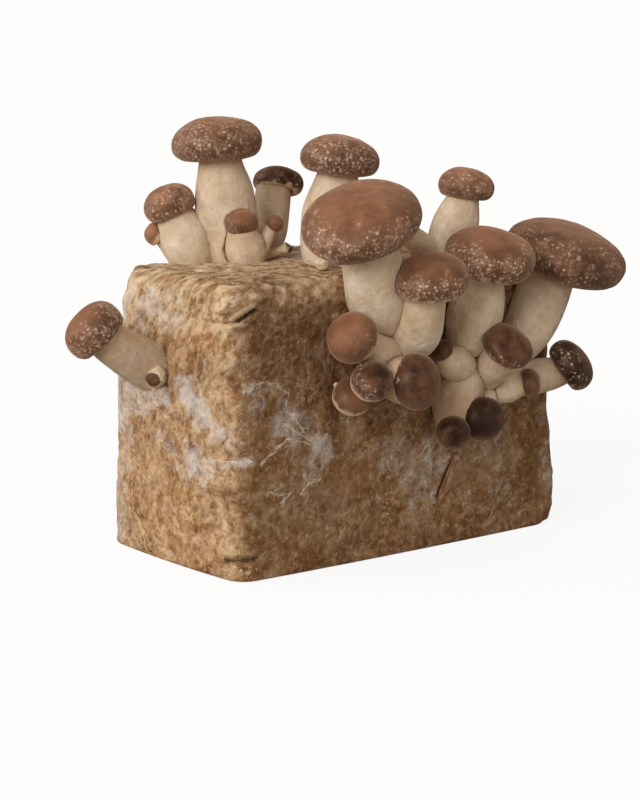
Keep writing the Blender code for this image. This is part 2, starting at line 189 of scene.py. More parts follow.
# The clusters, front pieces first: a later piece gives way to an earlier one.
MUSHROOMS = [
    mushroom("oval_front", (-5, -54, 98), (-14, -88, 140), (36, 18), (18, -146), (13, 25, 18),
             shift=(-2.7, 2.1, 0), tone=0.64, veil=0.2, flecks=1.0, tan=0.0),
    mushroom("button_centre", (6, -54, 87), (-21.3, -86, 91.8), (27.5, 17), (86, -68), (15, 21, 22.5),
             shift=(-2, 1.5, 0.5), tone=0.26, veil=0.14, flecks=0.6, net=-0.9),
    mushroom("button_lower", (-10, -54, 92), (-45, -82, 94), (20, 14), (59, -104), (11, 12, 12),
             tone=0.16, veil=0.35, flecks=0.7, net=0.2),
    mushroom("button_left", (-9, -54, 98), (-50, -74, 114), (25, 17), (53, -174), (18, 17, 16),
             tone=0.66, veil=0.2, flecks=0.8, net=-0.8),
    mushroom("button_under", (-18, -54, 87), (-46, -69, 85), (19, 12), (57, -106), (10, 11, 12),
             tone=0.5, veil=0.42, flecks=0.5, net=-0.4),
    mushroom("big_front", (-18, -54, 111), (-44, -73, 167.2), (57.5, 21.5), (28, -156), (17, 30, 25),
             tone=0.68, veil=0.05, flecks=0.85),
    mushroom("button_right", (47, -54, 82), (39.6, -82.3, 101.4), (26, 12), (42, -91), (18, 18, 16),
             tone=0.3, veil=0.06, flecks=0.7, net=-0.5),
    mushroom("middle_right", (33, -54, 95), (35, -74, 144.5), (45, 21.5), (13, -95), (13, 27, 18),
             shift=(-1.6, 1.2, 0), tone=0.7, veil=0.16, flecks=1.1),
    mushroom("brown_low", (34, -54, 84), (13.3, -73, 61), (17, 12), (108, -112), (24, 24, 13),
             tone=0.12, veil=0.06, flecks=0.0, net=-1.0, tan=0.6),
    mushroom("dark_low", (49, -54, 74), (31, -75, 66), (22, 13), (85, -99), (12, 14, 13),
             tone=0.0, veil=0.06, flecks=0.4, net=-0.4, tan=0.3),
    mushroom("tucked", (34, -54, 88), (9, -69, 101), (12, 8), (34, 180), (17, 18, 9),
             tone=0.3, veil=0.05, flecks=0.1, net=-1.0),
    mushroom("side_right", (57, -54, 79), (92.6, -71, 84.8), (27, 15.5), (56, -43), (17, 18, 14),
             tone=0.0, veil=0.04, flecks=0.6, tan=0.45),
    mushroom("bud_right", (55, -54, 77), (65, -71, 79), (14, 8), (76, -46), (20, 18, 9),
             tone=0.48, veil=0.05, flecks=0.0, net=-1.0),
    mushroom("broad_right", (68, -54, 92), (97, -62, 139), (62, 23.5), (20, -68), (20, 26, 27.5),
             shift=(-7.5, 0.4, 0), tone=0.5, veil=0.02, flecks=0.55, net=0.35, tan=0.35),
    mushroom("round_left", (-46, 12, 138), (-51, 10, 159), (16, 11), (9, -128), (16, 20, 13),
             tone=0.7, veil=0.1, flecks=0.4, tan=0.25),
    mushroom("bud_left", (-41.5, 13, 138), (-34, 6, 158), (9, 7), (39, -49), (10, 9, 6),
             tone=0.7, veil=0.05, flecks=0.1),
    mushroom("leaning_left", (-59.4, 34.5, 137), (-72.5, 40, 167.3), (26, 15), (22, 147),
             (22, 27, 15), tone=0.8, veil=0.05, flecks=0.9, net=0.6, tan=0.2),
    mushroom("hidden_left", (-67, 40, 136), (-75.3, 47.1, 152.3), (12.5, 9), (49, 145), (6, 8, 7),
             tone=1.1, veil=0.3, flecks=0.3),
    mushroom("tall_left", (-45, 26, 138), (-54.1, 26.2, 197.2), (44.5, 20.3), (3, 140),
             (28, 30.5, 18.5), shift=(1, -1, 0), tone=0.62, veil=0.03, flecks=0.8, net=0.8, tan=0.2),
    mushroom("back_left", (-14.2, 37, 137), (-12.5, 31, 174.5), (25.5, 12), (26, 36), (9, 18, 17.5),
             shift=(-1.4, 1.1, 0), tone=0.4, veil=0.15, flecks=0.4),
    mushroom("tall_middle", (-19, -13, 138), (-11.1, -16.3, 190), (39.5, 18), (5, -51), (19, 28.5, 18),
             tone=0.58, veil=0.05, flecks=1.0, net=0.5, tan=0.0),
    mushroom("tall_back", (48.4, -26.6, 138), (61.5, -26.5, 172.5), (28.5, 15), (9, -35),
             (21, 23.5, 14.5), tone=0.74, veil=0.05, flecks=0.7, net=0.3),
    mushroom("hidden_middle", (42, -24, 138), (20, -26, 157), (14, 10), (20, 141), (11, 12, 10),
             tone=0.55, veil=0.1, flecks=0.3),
    mushroom("lone_side", (-100, 18, 94), (-135.2, 13.1, 114.8), (30.3, 18.3), (46, 152),
             (25, 21.5, 17.5), shift=(0.5, -0.4, 0.6), tone=0.6, veil=0.06, flecks=1.1, net=-0.1,
             tan=0.32),
]

# Buds in one piece: name, root, tip, width of the stalk and of the head, and where along
# it the brown skin starts
BUDS = [
    ("bud_lying", (-38, 17, 139), (-25, 8.5, 145), 4, 5.5, 0.95),
    ("bud_middle", (-27, -23, 139), (-31, -28, 142), 5, 7, 2.5),
    ("bud_side", (-100, 10, 92), (-104, 7.5, 90.5), 10, 11, 1.76),
]

# The planes of the block's left end and of its long front
LEFT = -BLOCK_LENGTH / 2
FRONT = -BLOCK_DEPTH / 2

# Marks on the block: their middle line, how far they reach from it, and their strength
BLOOMS = [
    ([(LEFT, -10, 88), (LEFT, -19, 82), (LEFT, -31, 75), (LEFT, -40, 68)], 7, 0.75),
    ([(LEFT, -14, 57), (LEFT, -26, 51)], 9, 0.7),
    ([(LEFT, -26, 50), (LEFT, -44, 55), (-95, -53, 58)], 2.5, 0.65),
    ([(LEFT, 6, 60), (LEFT, -10, 55)], 6, 0.5),
    ([(LEFT, 46, 4), (LEFT, 42, 60)], 12, 0.55),
    ([(LEFT, 48, 60), (LEFT, 46, 125)], 10, 0.75),
    ([(LEFT, 38, 81), (LEFT, 3, 80)], 8, 0.7),
    ([(LEFT, 34, 70), (LEFT, 20, 74)], 6, 0.6),
    ([(LEFT, 26, 118), (LEFT, 0, 122)], 10, 0.55),
    ([(-95, FRONT, 88), (-80, FRONT, 92), (-70, FRONT, 84)], 8, 0.35),
    ([(-76, FRONT, 76), (-66, FRONT, 67), (-54, FRONT, 61)], 10, 0.6),
    ([(-78, FRONT, 38), (-68, FRONT, 42), (-56, FRONT, 45)], 4, 0.2),
    ([(-7, FRONT, 52), (3, FRONT, 41), (15, FRONT, 39), (9, FRONT, 30)], 14, 0.45),
    ([(50, FRONT, 60), (60, FRONT, 30)], 16, 0.3),
    ([(96, FRONT, 20), (98, FRONT, 75)], 8, 0.45),
    ([(-77, 46, BLOCK_HEIGHT), (6, 48, BLOCK_HEIGHT)], 9, 0.9),
    ([(-90, 38, BLOCK_HEIGHT), (-60, -20, BLOCK_HEIGHT)], 12, 0.35),
    ([(-20, 5, BLOCK_HEIGHT), (-5, 25, BLOCK_HEIGHT)], 14, 0.6),
    ([(70, -FRONT, 104), (44, -FRONT, 84), (30, -FRONT, 60)], 13, 0.6),
    ([(-30, -FRONT, 50), (-58, -FRONT, 34), (-80, -FRONT, 38)], 14, 0.5),
    ([(-LEFT, -4, 96), (-LEFT, 20, 70), (-LEFT, 30, 40)], 12, 0.6),
]
# Dark marks on the block. Most are stains; the band under the front cluster of mushrooms and the mark
# in the crevice beside the lone side stem are painted shade, and the band along the foot of the long
# front darkens it towards the bottom.
SHADE_AND_STAINS = [
    ([(-84, FRONT, 121), (-66, FRONT, 116)], 8, 0.5),
    ([(-87, FRONT, 122), (-86, FRONT, 98)], 7, 0.8),
    ([(-82, FRONT, 120), (-62, FRONT, 112), (-50, FRONT, 96), (-64, FRONT, 90)], 22, 0.85),
    # painted shade under the front cluster of mushrooms
    ([(-20, FRONT, 84), (70, FRONT, 70)], 14, 0.5),
    ([(-60, FRONT, 2), (100, FRONT, 2)], 9, 0.7),
    # painted shade in the crevice beside the lone side stem's foot
    ([(LEFT, 5, 104), (LEFT, 1, 86)], 4, 1.0),
    ([(-20, FRONT, 62), (-12, FRONT, 70)], 8, 0.6),
    ([(60, FRONT, 12), (95, FRONT, 45)], 16, 0.85),
    ([(90, -FRONT, 60), (20, -FRONT, 110), (-10, -FRONT, 96)], 20, 0.6),
    ([(-LEFT, -30, 30), (-LEFT, 10, 20)], 18, 0.6),
]
GOLDS = [
    ([(LEFT, 25, 45), (LEFT, 0, 30), (LEFT, -20, 15)], 26, 0.6),
    ([(LEFT, -6, 105), (LEFT, -24, 112)], 16, 0.9),
    ([(-36, -50, 130), (-25, FRONT, 118)], 12, 0.9),
    ([(-16, FRONT, 38), (-38, FRONT, 46)], 12, 0.8),
    ([(70, FRONT, 68), (75, FRONT, 60)], 9, 0.7),
    ([(-90, FRONT, 25), (-60, FRONT, 20)], 20, 0.4),
]
PALES = [
    ([(-90, 20, BLOCK_HEIGHT), (-30, 0, BLOCK_HEIGHT), (90, 0, BLOCK_HEIGHT)], 38, 0.65),
    ([(LEFT, 48, 122), (LEFT, 0, 128)], 14, 0.6),
    ([(-72, -51, 132), (-60, -50, 133.5), (-46, -50, 133)], 7, 1.2),
    ([(LEFT, -10, 120), (LEFT, -30, 128)], 10, 0.8),
    ([(-99, -31, 126), (-98, -45, 127), (-93, -50, 131), (-86, -51, 131)], 5, 1.2),
    ([(LEFT, -40, 118), (-96, -48, 120)], 4, 1.0),
    ([(-100, -44, 14), (-90, FRONT, 12)], 5, 0.7),
    ([(LEFT, -40, 60), (LEFT, -35, 100)], 14, 0.4),
    ([(LEFT, 30, 60), (LEFT, 20, 20)], 18, 0.3),
    ([(-90, FRONT, 45), (-70, FRONT, 50)], 14, 0.3),
    ([(30, FRONT, 60), (85, FRONT, 30)], 28, 0.45),
]

# Hollows pressed or torn into the block: middle line, half width and depth
HOLLOWS = [
    ([(-99, -28, 121), (-99, -38, 121), (-97, -47, 123)], 0.9, 2.2),
    ([(-97, -47, 123), (-94.5, -49, 124.5), (-92, -51, 126.5), (-88, -52, 128)], 1.2, 3.4),
    ([(-88, -52, 128), (-82, FRONT, 126), (-79, FRONT, 123)], 1.4, 1.8),
    ([(-99, -33, 125), (-98, -43, 125)], 0.6, 0.9),
    ([(-101, -41, 8), (-101, -45, 9.3), (-98, -51, 10.3), (-90, FRONT, 10.3)], 1.6, 2.4),
    ([(-96, -53, 6)], 1.4, 2.0),
    ([(-80, 7, BLOCK_HEIGHT)], 1.8, 3.0),
    ([(LEFT, 6, 104), (LEFT, 3, 86)], 1.8, 3.5),
    ([(LEFT, 19, 82)], 1.5, 3.0),
    ([(LEFT, 24, 70)], 1.2, 1.5),
    ([(LEFT, -25, 74)], 1.2, 1.5),
    ([(-22, FRONT, 67)], 1.5, 2.0),
    ([(-23, FRONT, 59)], 1.3, 1.5),
    ([(64, FRONT, 53)], 1.5, 2.0),
    ([(75, FRONT, 47)], 1.4, 2.0),
    ([(30, FRONT, 44), (21, FRONT, 25)], 1.6, 1.8),
]
# Swellings: middle line, half width and height
SWELLINGS = [
    ([(-99, -31, 127), (-99, -39, 126), (-97.5, -45, 127.5)], 1.8, 1.6),
    ([(-97.5, -45, 128), (-94, -49, 130), (-91, -50, 130.5), (-85, -51, 132)], 1.5, 1.3),
    ([(-99, -40, 119), (-95, -49, 121), (-91, -51.5, 123.5)], 1.7, 1.1),
    ([(-92, -52, 119), (-91, -52, 114), (-93, -51.5, 110), (-97, -48, 109)], 0.9, 0.9),
    ([(-97, -48, 105), (-94, -51, 101), (-96, -49, 97)], 0.9, 0.8),
    ([(-97, 50, 130)], 9, -2.8),
    ([(-101, 50, 60), (-101, 50, 112)], 10, -1.2),
    ([(100, -50, 42), (100, -50, 80)], 9, -0.9),
    ([(100, -50, 4), (100, -50, 24)], 8, 1.0),
    ([(97, -52, 0)], 8, -1.6),
    ([(10, 44, BLOCK_HEIGHT), (-10, 44, BLOCK_HEIGHT)], 12, 2.0),
    ([(LEFT, -20, 114)], 3.0, 1.6),
    ([(LEFT, -22, 108)], 9.0, 1.2),
    ([(-89, 44, 137)], 4.0, 1.2),
    ([(-101, -43, 13), (-95, -53, 14)], 2.2, 0.9),
]

# Threads of mycelium that show singly on the block
THREADS = [
    [(-95, FRONT, 90), (-87, FRONT, 94), (-79, FRONT, 93), (-72, FRONT, 87), (-73, FRONT, 80)],
    [(-74, FRONT, 80), (-66, FRONT, 72), (-60, FRONT, 64)],
    [(-76, FRONT, 74), (-67, FRONT, 68), (-55, FRONT, 61)],
    [(-54, FRONT, 61), (-64, FRONT, 63), (-74, FRONT, 66), (-80, FRONT, 61), (-88, FRONT, 57),
     (-90, FRONT, 53)],
    [(-53, FRONT, 45), (-60, FRONT, 43), (-67, FRONT, 40)],
    [(-65, FRONT, 49), (-61, FRONT, 43), (-68, FRONT, 37)],
    [(-84, FRONT, 42), (-77, FRONT, 40), (-71, FRONT, 40), (-78, FRONT, 34)],
    [(LEFT, -22, 54), (-98, -49, 58), (-90, FRONT, 57)],
    [(-4, FRONT, 71), (2, FRONT, 65)],
]

# Larger chips about the torn foot corner: place and width
CHIPS = [
    ((-102, -30, 12), 2.2),
    ((-102, -34, 8), 2.6),
    ((-101.4, -42, 11), 2.0),
    ((-100, -48, 7), 1.8),
    ((-98, -51, 5.5), 2.2),
    ((-95, -53, 4.5), 2.6),
    ((-94, -53, 7.5), 1.8),
    ((-91, FRONT, 6), 1.8),
]

# Pins that never grew on: place and width
PINS = [
    ((-44, FRONT, 88), 2.6),
    ((-41, FRONT, 86), 2.2),
    ((-52, 20, BLOCK_HEIGHT), 2.4),
    ((-55, 19, BLOCK_HEIGHT), 1.8),
    ((LEFT, 12, 83), 2.4),
]


def smooth(share):
    """Ease from 0 to 1, for numbers and arrays."""
    share = np.clip(share, 0, 1)
    return share * share * (3 - 2 * share)


def face_outwards(bm):
    """Point all faces of a closed form out of it."""
    bmesh.ops.recalc_face_normals(bm, faces=bm.faces)
    if bm.calc_volume(signed=True) < 0:
        bmesh.ops.reverse_faces(bm, faces=bm.faces)


def carry(bm, values):
    """Give every vertex its number for each name."""
    for name, numbers in values.items():
        layer = bm.verts.layers.float.new(name)
        for vertex, number in zip(bm.verts, numbers):
            vertex[layer] = number


def rolled(points, values, straight=None):
    """A grid rolled up and closed: its rows run from end to end, its columns once round.

    values are numbers that every vertex keeps, by name, and straight the place that it
    had before the piece was bent.
    """
    rows, columns = points.shape[0] - 1, points.shape[1] - 1
    bm = bmesh.new()
    bmesh.ops.create_grid(bm, x_segments=columns, y_segments=rows, size=1)
    for vertex, point in zip(bm.verts, points.reshape(-1, 3)):
        vertex.co = point
    carry(bm, {name: numbers.ravel() for name, numbers in values.items()})
    if straight is not None:
        layer = bm.verts.layers.float_vector.new("straight")
        for vertex, point in zip(bm.verts, straight.reshape(-1, 3)):
            vertex[layer] = point
    bmesh.ops.remove_doubles(bm, verts=bm.verts, dist=MERGE)
    return bm


def new_piece(name, bm, surfaces, node=None):
    """Turn a bmesh in millimetres into a smooth piece of the object."""
    bmesh.ops.scale(bm, vec=(MM, MM, MM), verts=bm.verts)
    mesh = bpy.data.meshes.new(name)
    bm.to_mesh(mesh)
    bm.free()
    for surface in surfaces:
        mesh.materials.append(surface)
    mesh.shade_smooth()
    piece = bpy.data.objects.new(name, mesh)
    bpy.context.scene.collection.objects.link(piece)
    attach(piece, "root")
    if node:
        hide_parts(node)
    return piece


def steps(length, grain):
    """How many steps of about one grain fit a length."""
    return max(2, round(length / grain))


def block_outline():
    """Points of the block's rounded rectangle in plan, counter-clockwise and closed."""
    half_x, half_y, corner = BLOCK_LENGTH / 2, BLOCK_DEPTH / 2, BLOCK_CORNER
    corner_steps = steps(corner * math.pi / 2, BLOCK_GRAIN)
    points = []
    for quarter in range(4):
        middle = math.radians(45 + 90 * quarter)
        centre_x = math.copysign(half_x - corner, math.cos(middle))
        centre_y = math.copysign(half_y - corner, math.sin(middle))
        for step in range(corner_steps + 1):
            angle = math.radians(90) * (quarter + step / corner_steps)
            points.append((centre_x + corner * math.cos(angle), centre_y + corner * math.sin(angle)))
        run = 2 * ((half_y if quarter % 2 else half_x) - corner)
        side_steps = steps(run, BLOCK_GRAIN)
        start = points[-1]
        turn = math.radians(90) * (quarter + 1)
        for step in range(1, side_steps):
            along = run * step / side_steps
            bulge = FACE_BULGE * (1 - (2 * step / side_steps - 1) ** 2)
            points.append((
                start[0] - along * math.sin(turn) + bulge * math.cos(turn),
                start[1] + along * math.cos(turn) + bulge * math.sin(turn),
            ))
    points.append(points[0])
    return np.array(points)


def block_levels():
    """Height and inset of each ring of the block, from the underside to the middle of the crown."""
    levels = []
    foot_steps = steps(FOOT_ROUND * math.pi / 2, BLOCK_GRAIN)
    for step in range(foot_steps + 1):
        angle = math.radians(90) * step / foot_steps
        levels.append((FOOT_ROUND * (1 - math.cos(angle)), FOOT_ROUND * (1 - math.sin(angle))))
    wall = BLOCK_HEIGHT - FOOT_ROUND - SHOULDER_ROUND
    wall_steps = steps(wall, BLOCK_GRAIN)
    for step in range(1, wall_steps + 1):
        share = step / wall_steps
        levels.append((FOOT_ROUND + wall * share, SHOULDER_LEAN * share ** 3))
    shoulder_steps = steps(SHOULDER_ROUND * math.pi / 2, BLOCK_GRAIN)
    for step in range(1, shoulder_steps + 1):
        angle = math.radians(85) * step / shoulder_steps
        levels.append((
            BLOCK_HEIGHT - SHOULDER_ROUND * (1 - math.sin(angle)),
            SHOULDER_LEAN + SHOULDER_ROUND * (1 - math.cos(angle)),
        ))
    top_inset = levels[-1][1]
    crown = BLOCK_DEPTH / 2 - top_inset
    crown_steps = steps(crown, BLOCK_GRAIN * 1.1)
    for step in range(1, crown_steps + 1):
        share = step / crown_steps
        rise = TOP_CROWN * math.sin(math.radians(90) * share)
        levels.append((BLOCK_HEIGHT + rise, top_inset + crown * share))
    return np.array(levels)


def laid(tree, line):
    """A line through corner points, brought onto the surface in short steps."""
    corners = [Vector(corner) for corner in line]
    places = [corners[0]]
    for start, end in zip(corners, corners[1:]):
        count = steps((end - start).length, 3)
        places += [start.lerp(end, step / count) for step in range(1, count + 1)]
    return np.array([tree.find_nearest(place)[0] for place in places])


def line_distance(points, line, reach):
    """Distance of each point from a line, as far as the reach; beyond it the reach itself."""
    nearest = np.full(len(points), float(reach))
    near = np.all((points > line.min(axis=0) - reach) & (points < line.max(axis=0) + reach), axis=1)
    close = points[near]
    best = nearest[near]
    for start, end in zip(line, line[1:] if len(line) > 1 else line):
        step = end - start
        share = np.clip((close - start) @ step / max(step @ step, MERGE), 0, 1)
        best = np.minimum(best, np.linalg.norm(close - start - share[:, None] * step, axis=1))
    nearest[near] = best
    return nearest


def marked(points, tree, wander, marks):
    """Strength at each point of the strongest mark that reaches it, fading to its edges."""
    strength = np.zeros(len(points))
    for line, reach, most in marks:
        distance = line_distance(points, laid(tree, line), reach * 2.5) + wander * reach
        strength = np.maximum(strength, most * smooth(1.15 - distance / reach / 1.35))
    return strength


def sampled(points, length, octaves, offset):
    """Noise of a given wavelength at each point."""
    shift = Vector((offset, offset * 1.7, offset * 0.6))
    return np.array([
        noise.fractal(Vector(point) / length + shift, 0.7, 2.1, octaves) for point in points
    ])


def drawn_out(points, times):
    """Shorten places along the block's grain, so that noise on them comes out as streaks."""
    way = np.array(GRAIN_WAY) / np.linalg.norm(GRAIN_WAY)
    bends = np.array([noise.noise_vector(Vector(point) / BEND_LENGTH) for point in points])
    bent = points + bends * BEND_DEPTH
    return bent - ((bent @ way) * (1 - 1 / times))[:, None] * way


def folds(points, length, width, offset):
    """Thin curved folds that stand up from the surface: 1 on the back of a fold."""
    return np.maximum(1 - np.abs(sampled(points, length, 2, offset)) / width, 0)


def block_form():
    """The pressed block with its waves, lumps, folds, tears and pits."""
    outline = block_outline()
    levels = block_levels()
    points = np.zeros((len(levels), len(outline), 3))
    for row, (height, inset) in enumerate(levels):
        points[row, :, 0] = outline[:, 0] * (1 - inset / (BLOCK_LENGTH / 2))
        points[row, :, 1] = outline[:, 1] * (1 - inset / (BLOCK_DEPTH / 2))
        points[row, :, 2] = height
    bm = rolled(points, {})
    rim = [edge for edge in bm.edges if edge.is_boundary]
    bmesh.ops.holes_fill(bm, edges=rim, sides=0)
    face_outwards(bm)
    bm.normal_update()
    tree = BVHTree.FromBMesh(bm)
    places = np.array([vertex.co for vertex in bm.verts])
    normals = np.array([vertex.normal for vertex in bm.verts])
    standing = smooth(places[:, 2] / WAVE_START)
    waves = np.array([noise.noise_vector(Vector(place) / WAVE_LENGTH) for place in places])
    waves[:, 2] = 0
    wander = sampled(places, 7, 3, 5.0)

    ragged = sampled(places, 3, 2, 8.0)
    lumps = sampled(places, 26, 3, 1.0)
    soft = sampled(places, 8, 3, 2.0)
    below_shoulder = 1 - 0.8 * smooth((places[:, 2] - 123) / 9)
    # front weighs how much a place faces the long front; the colour uses it for a darker front, partly
    # painted shade
    front = smooth((-normals[:, 1] - 0.35) / 0.62) * below_shoulder
    upper = smooth((places[:, 2] - 72) / 54) * (1 - 0.75 * front)
    streaks = sampled(drawn_out(places, 4.0), 4.0, 3, 12.0)
    rough = smooth(sampled(places, 24, 2, 7.0) * 1.8 + 0.45)
    slanted = drawn_out(places, 1.8)
    fold = np.maximum(folds(slanted, 13, 0.11, 3.0), 0.7 * folds(slanted, 7, 0.13, 9.0)) * rough
    height = 0.9 * lumps + 0.5 * soft - 0.4
    height += (0.06 + 0.24 * upper) * streaks + (0.35 + 0.3 * upper) * fold
    shape = np.zeros(len(places))
    # tear is how deep each place lies in a hollow; the colour paints shade there
    tear = np.zeros(len(places))
    for line, reach, depth in HOLLOWS:
        distance = line_distance(places, laid(tree, line), reach * 4)
        cut = smooth(1.3 - distance / reach + 0.3 * ragged)
        height -= depth * cut
        tear = np.maximum(tear, cut * min(1, depth / 3))
    for line, reach, rise in SWELLINGS:
        distance = line_distance(places, laid(tree, line), reach * 3)
        shape += rise * smooth(1.2 - distance / reach + 0.2 * wander)

    values = {
        "streak": streaks,
        "fold": fold,
        "upper": upper,
        "tear": tear,
        "front": front,
        "bloom": marked(places, tree, wander * 0.9, BLOOMS),
        "stain": marked(places, tree, wander * 0.7, SHADE_AND_STAINS),
        "gold": marked(places, tree, wander * 0.6, GOLDS),
        "pale": marked(places, tree, wander * 0.8, PALES),
    }
    moved = places + waves * WAVE_DEPTH * standing[:, None]
    moved += normals * (height * standing + shape)[:, None]
    low, high = (np.array(corner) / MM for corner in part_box("substrate_block"))
    moved[:, 1] = np.minimum(moved[:, 1], high[1])
    moved[:, 2] = np.maximum(moved[:, 2], low[2])
    for vertex, point in zip(bm.verts, moved):
        vertex.co = point
    carry(bm, values)
    return bm


def cap_profile(shape):
    """Radius, height and share of the way from crown to rim, along a cap's outline."""
    radius = shape["width"] / 2
    rim = radius * RIM_WIDTH
    dome = shape["thickness"] * DOME_SHARE
    lip = shape["thickness"] * (1 - DOME_SHARE)
    power = 2 / DOME_FULLNESS
    points = []
    dome_steps = steps(radius + dome * 0.6, CAP_GRAIN)
    for step in range(dome_steps + 1):
        angle = math.radians(90) * step / dome_steps
        points.append((radius * math.sin(angle) ** power, dome * max(math.cos(angle), 0) ** power))
    lip_steps = steps((radius - rim + lip) * 0.8, CAP_GRAIN)
    for step in range(1, lip_steps + 1):
        angle = math.radians(90) * step / lip_steps
        points.append((rim + (radius - rim) * math.cos(angle), -lip * math.sin(angle)))
    skin = len(points)
    roll = lip * ROLL
    for degrees in (30, 60, 90):
        angle = math.radians(degrees)
        points.append((rim - roll * math.sin(angle), -lip + roll * (1 - math.cos(angle))))
    roof = -lip * (1 - GILL_RISE)
    if shape["width"] < VEILED_WIDTH:
        points.append((rim * 0.6, -lip * 0.75))
    else:
        points.append((rim * GILL_WIDTH, roof))
    inner_radius, inner_height = points[-1]
    for share in (0.75, 0.5, 0.25, 0):
        points.append((inner_radius * share, inner_height))
    points = np.array(points)
    runs = np.linalg.norm(np.diff(points, axis=0), axis=1)
    way = np.concatenate(([0], np.cumsum(runs)))
    return points, way / way[skin - 1]


def give_way(places, origins, trees):
    """Flatten a form where it would run into a neighbour.

    Each place is drawn back towards its origin inside the form, until it is clear of
    the first neighbour on its way out. Returns the places and how far each was drawn.
    """
    drawn = np.zeros(len(places))
    for index, (place, origin) in enumerate(zip(places, origins)):
        reach = place - origin
        length = reach.length
        if length < GAP:
            continue
        direction = reach / length
        for tree in trees:
            hit, normal, _, distance = tree.ray_cast(origin, direction, length + GAP)
            if hit is not None and normal.dot(direction) < 0:
                kept = max(distance - GAP, GAP)
                if kept < length:
                    drawn[index] += length - kept
                    length = kept
        places[index] = origin + direction * length
    return places, drawn


def relax(bm, drawn):
    """Even out the part of a form that was drawn back from its neighbours."""
    pressed = [vertex for vertex, far in zip(bm.verts, drawn) if far > GAP]
    for _ in range(RELAXED_TIMES):
        bmesh.ops.smooth_vert(
            bm, verts=pressed, factor=0.5, use_axis_x=True, use_axis_y=True, use_axis_z=True
        )


def cap_form(shape, seed, trees):
    """A cap with a wavy margin, a finely dented skin and an inrolled rim, which carries how many flecks
    its skin has.
    """
    profile, way = cap_profile(shape)
    columns = steps(math.pi * shape["width"], CAP_GRAIN * 1.1)
    angles = np.linspace(0, 2 * math.pi, columns + 1)
    points = np.zeros((len(profile), columns + 1, 3))
    points[:, :, 0] = profile[:, :1] * np.cos(angles)
    points[:, :, 1] = profile[:, :1] * np.sin(angles)
    points[:, :, 2] = profile[:, 1:]
    margin = np.repeat(way[:, None], columns + 1, axis=1)
    bm = rolled(points, {"margin": margin})
    face_outwards(bm)
    bm.normal_update()
    layer = bm.verts.layers.float["margin"]
    places = [vertex.co.copy() for vertex in bm.verts]
    normals = [vertex.normal.copy() for vertex in bm.verts]
    ways = np.array([vertex[layer] for vertex in bm.verts])
    shift = Vector((seed * 3.1, seed * 1.7, seed * 0.9))
    turn = Vector((0, 0, 1)).rotation_difference(shape["axis"])
    seat = shape["seat"]
    moved = []
    for place, normal in zip(places, normals):
        wave = noise.noise(place / (shape["width"] * 0.42) + shift) * shape["width"] * 0.022
        dent = noise.noise(place / 5 + shift) * 0.16
        rise = wave + dent - shape["width"] * 0.006
        moved.append(turn @ (place + normal * rise) + seat)
    moved, _ = give_way(moved, [seat] * len(moved), trees)
    inwards = max(0, solid_box[0][0] / MM - min(place.x for place in moved))
    edge = np.array([noise.fractal(place / 3 + shift, 0.8, 2, 3) for place in places])
    veil_start = 1 - shape["veil"]
    veil = smooth((ways + edge * 0.1 - veil_start) / 0.12)
    for vertex, point in zip(bm.verts, moved):
        vertex.co = point + Vector((inwards, 0, 0))
    carry(bm, {
        "veil": veil,
        "tone": np.full(len(places), shape["tone"]),
        "flecks": np.full(len(places), shape["flecks"]),
        "net": np.full(len(places), shape["net"]),
    })
    return bm


def face_normal(root):
    """Direction out of the block at a stem's root."""
    if root.z > BLOCK_HEIGHT - SHOULDER_ROUND / 2:
        return Vector((0, 0, 1))
    if root.x < -BLOCK_LENGTH / 2 + SHOULDER_ROUND / 2:
        return Vector((-1, 0, 0))
    return Vector((0, -1, 0))


def spine(shape, share):
    """Point and direction on a stem's curved middle line, from root 0 to cap 1."""
    root, neck, axis = shape["root"], shape["neck"], shape["axis"]
    length = (neck - root).length
    start = ((neck - root).normalized() + face_normal(root) * FACE_PULL).normalized()
    handles = (root, root + start * length * ROOT_PULL, neck - axis * length * CAP_PULL, neck)
    inner = min(max(share, 0), 1)
    rest = 1 - inner
    weights = (rest ** 3, 3 * rest ** 2 * inner, 3 * rest * inner ** 2, inner ** 3)
    point = sum((handle * weight for handle, weight in zip(handles, weights)), Vector())
    slopes = (rest ** 2, 2 * rest * inner, inner ** 2)
    legs = [after - before for before, after in zip(handles, handles[1:])]
    direction = sum((leg * slope for leg, slope in zip(legs, slopes)), Vector())
    direction.normalize()
    return point + direction * length * (share - inner), direction


def stem_radius(shape, share):
    """Radius of a stem, which swells from its foot to a belly and thins to the neck."""
    foot, belly, neck = (width / 2 for width in shape["stem"])
    if share < BELLY_AT:
        return foot + (belly - foot) * math.sin(math.radians(90) * max(share, 0) / BELLY_AT)
    return belly + (neck - belly) * float(smooth((share - BELLY_AT) / (1 - BELLY_AT)))


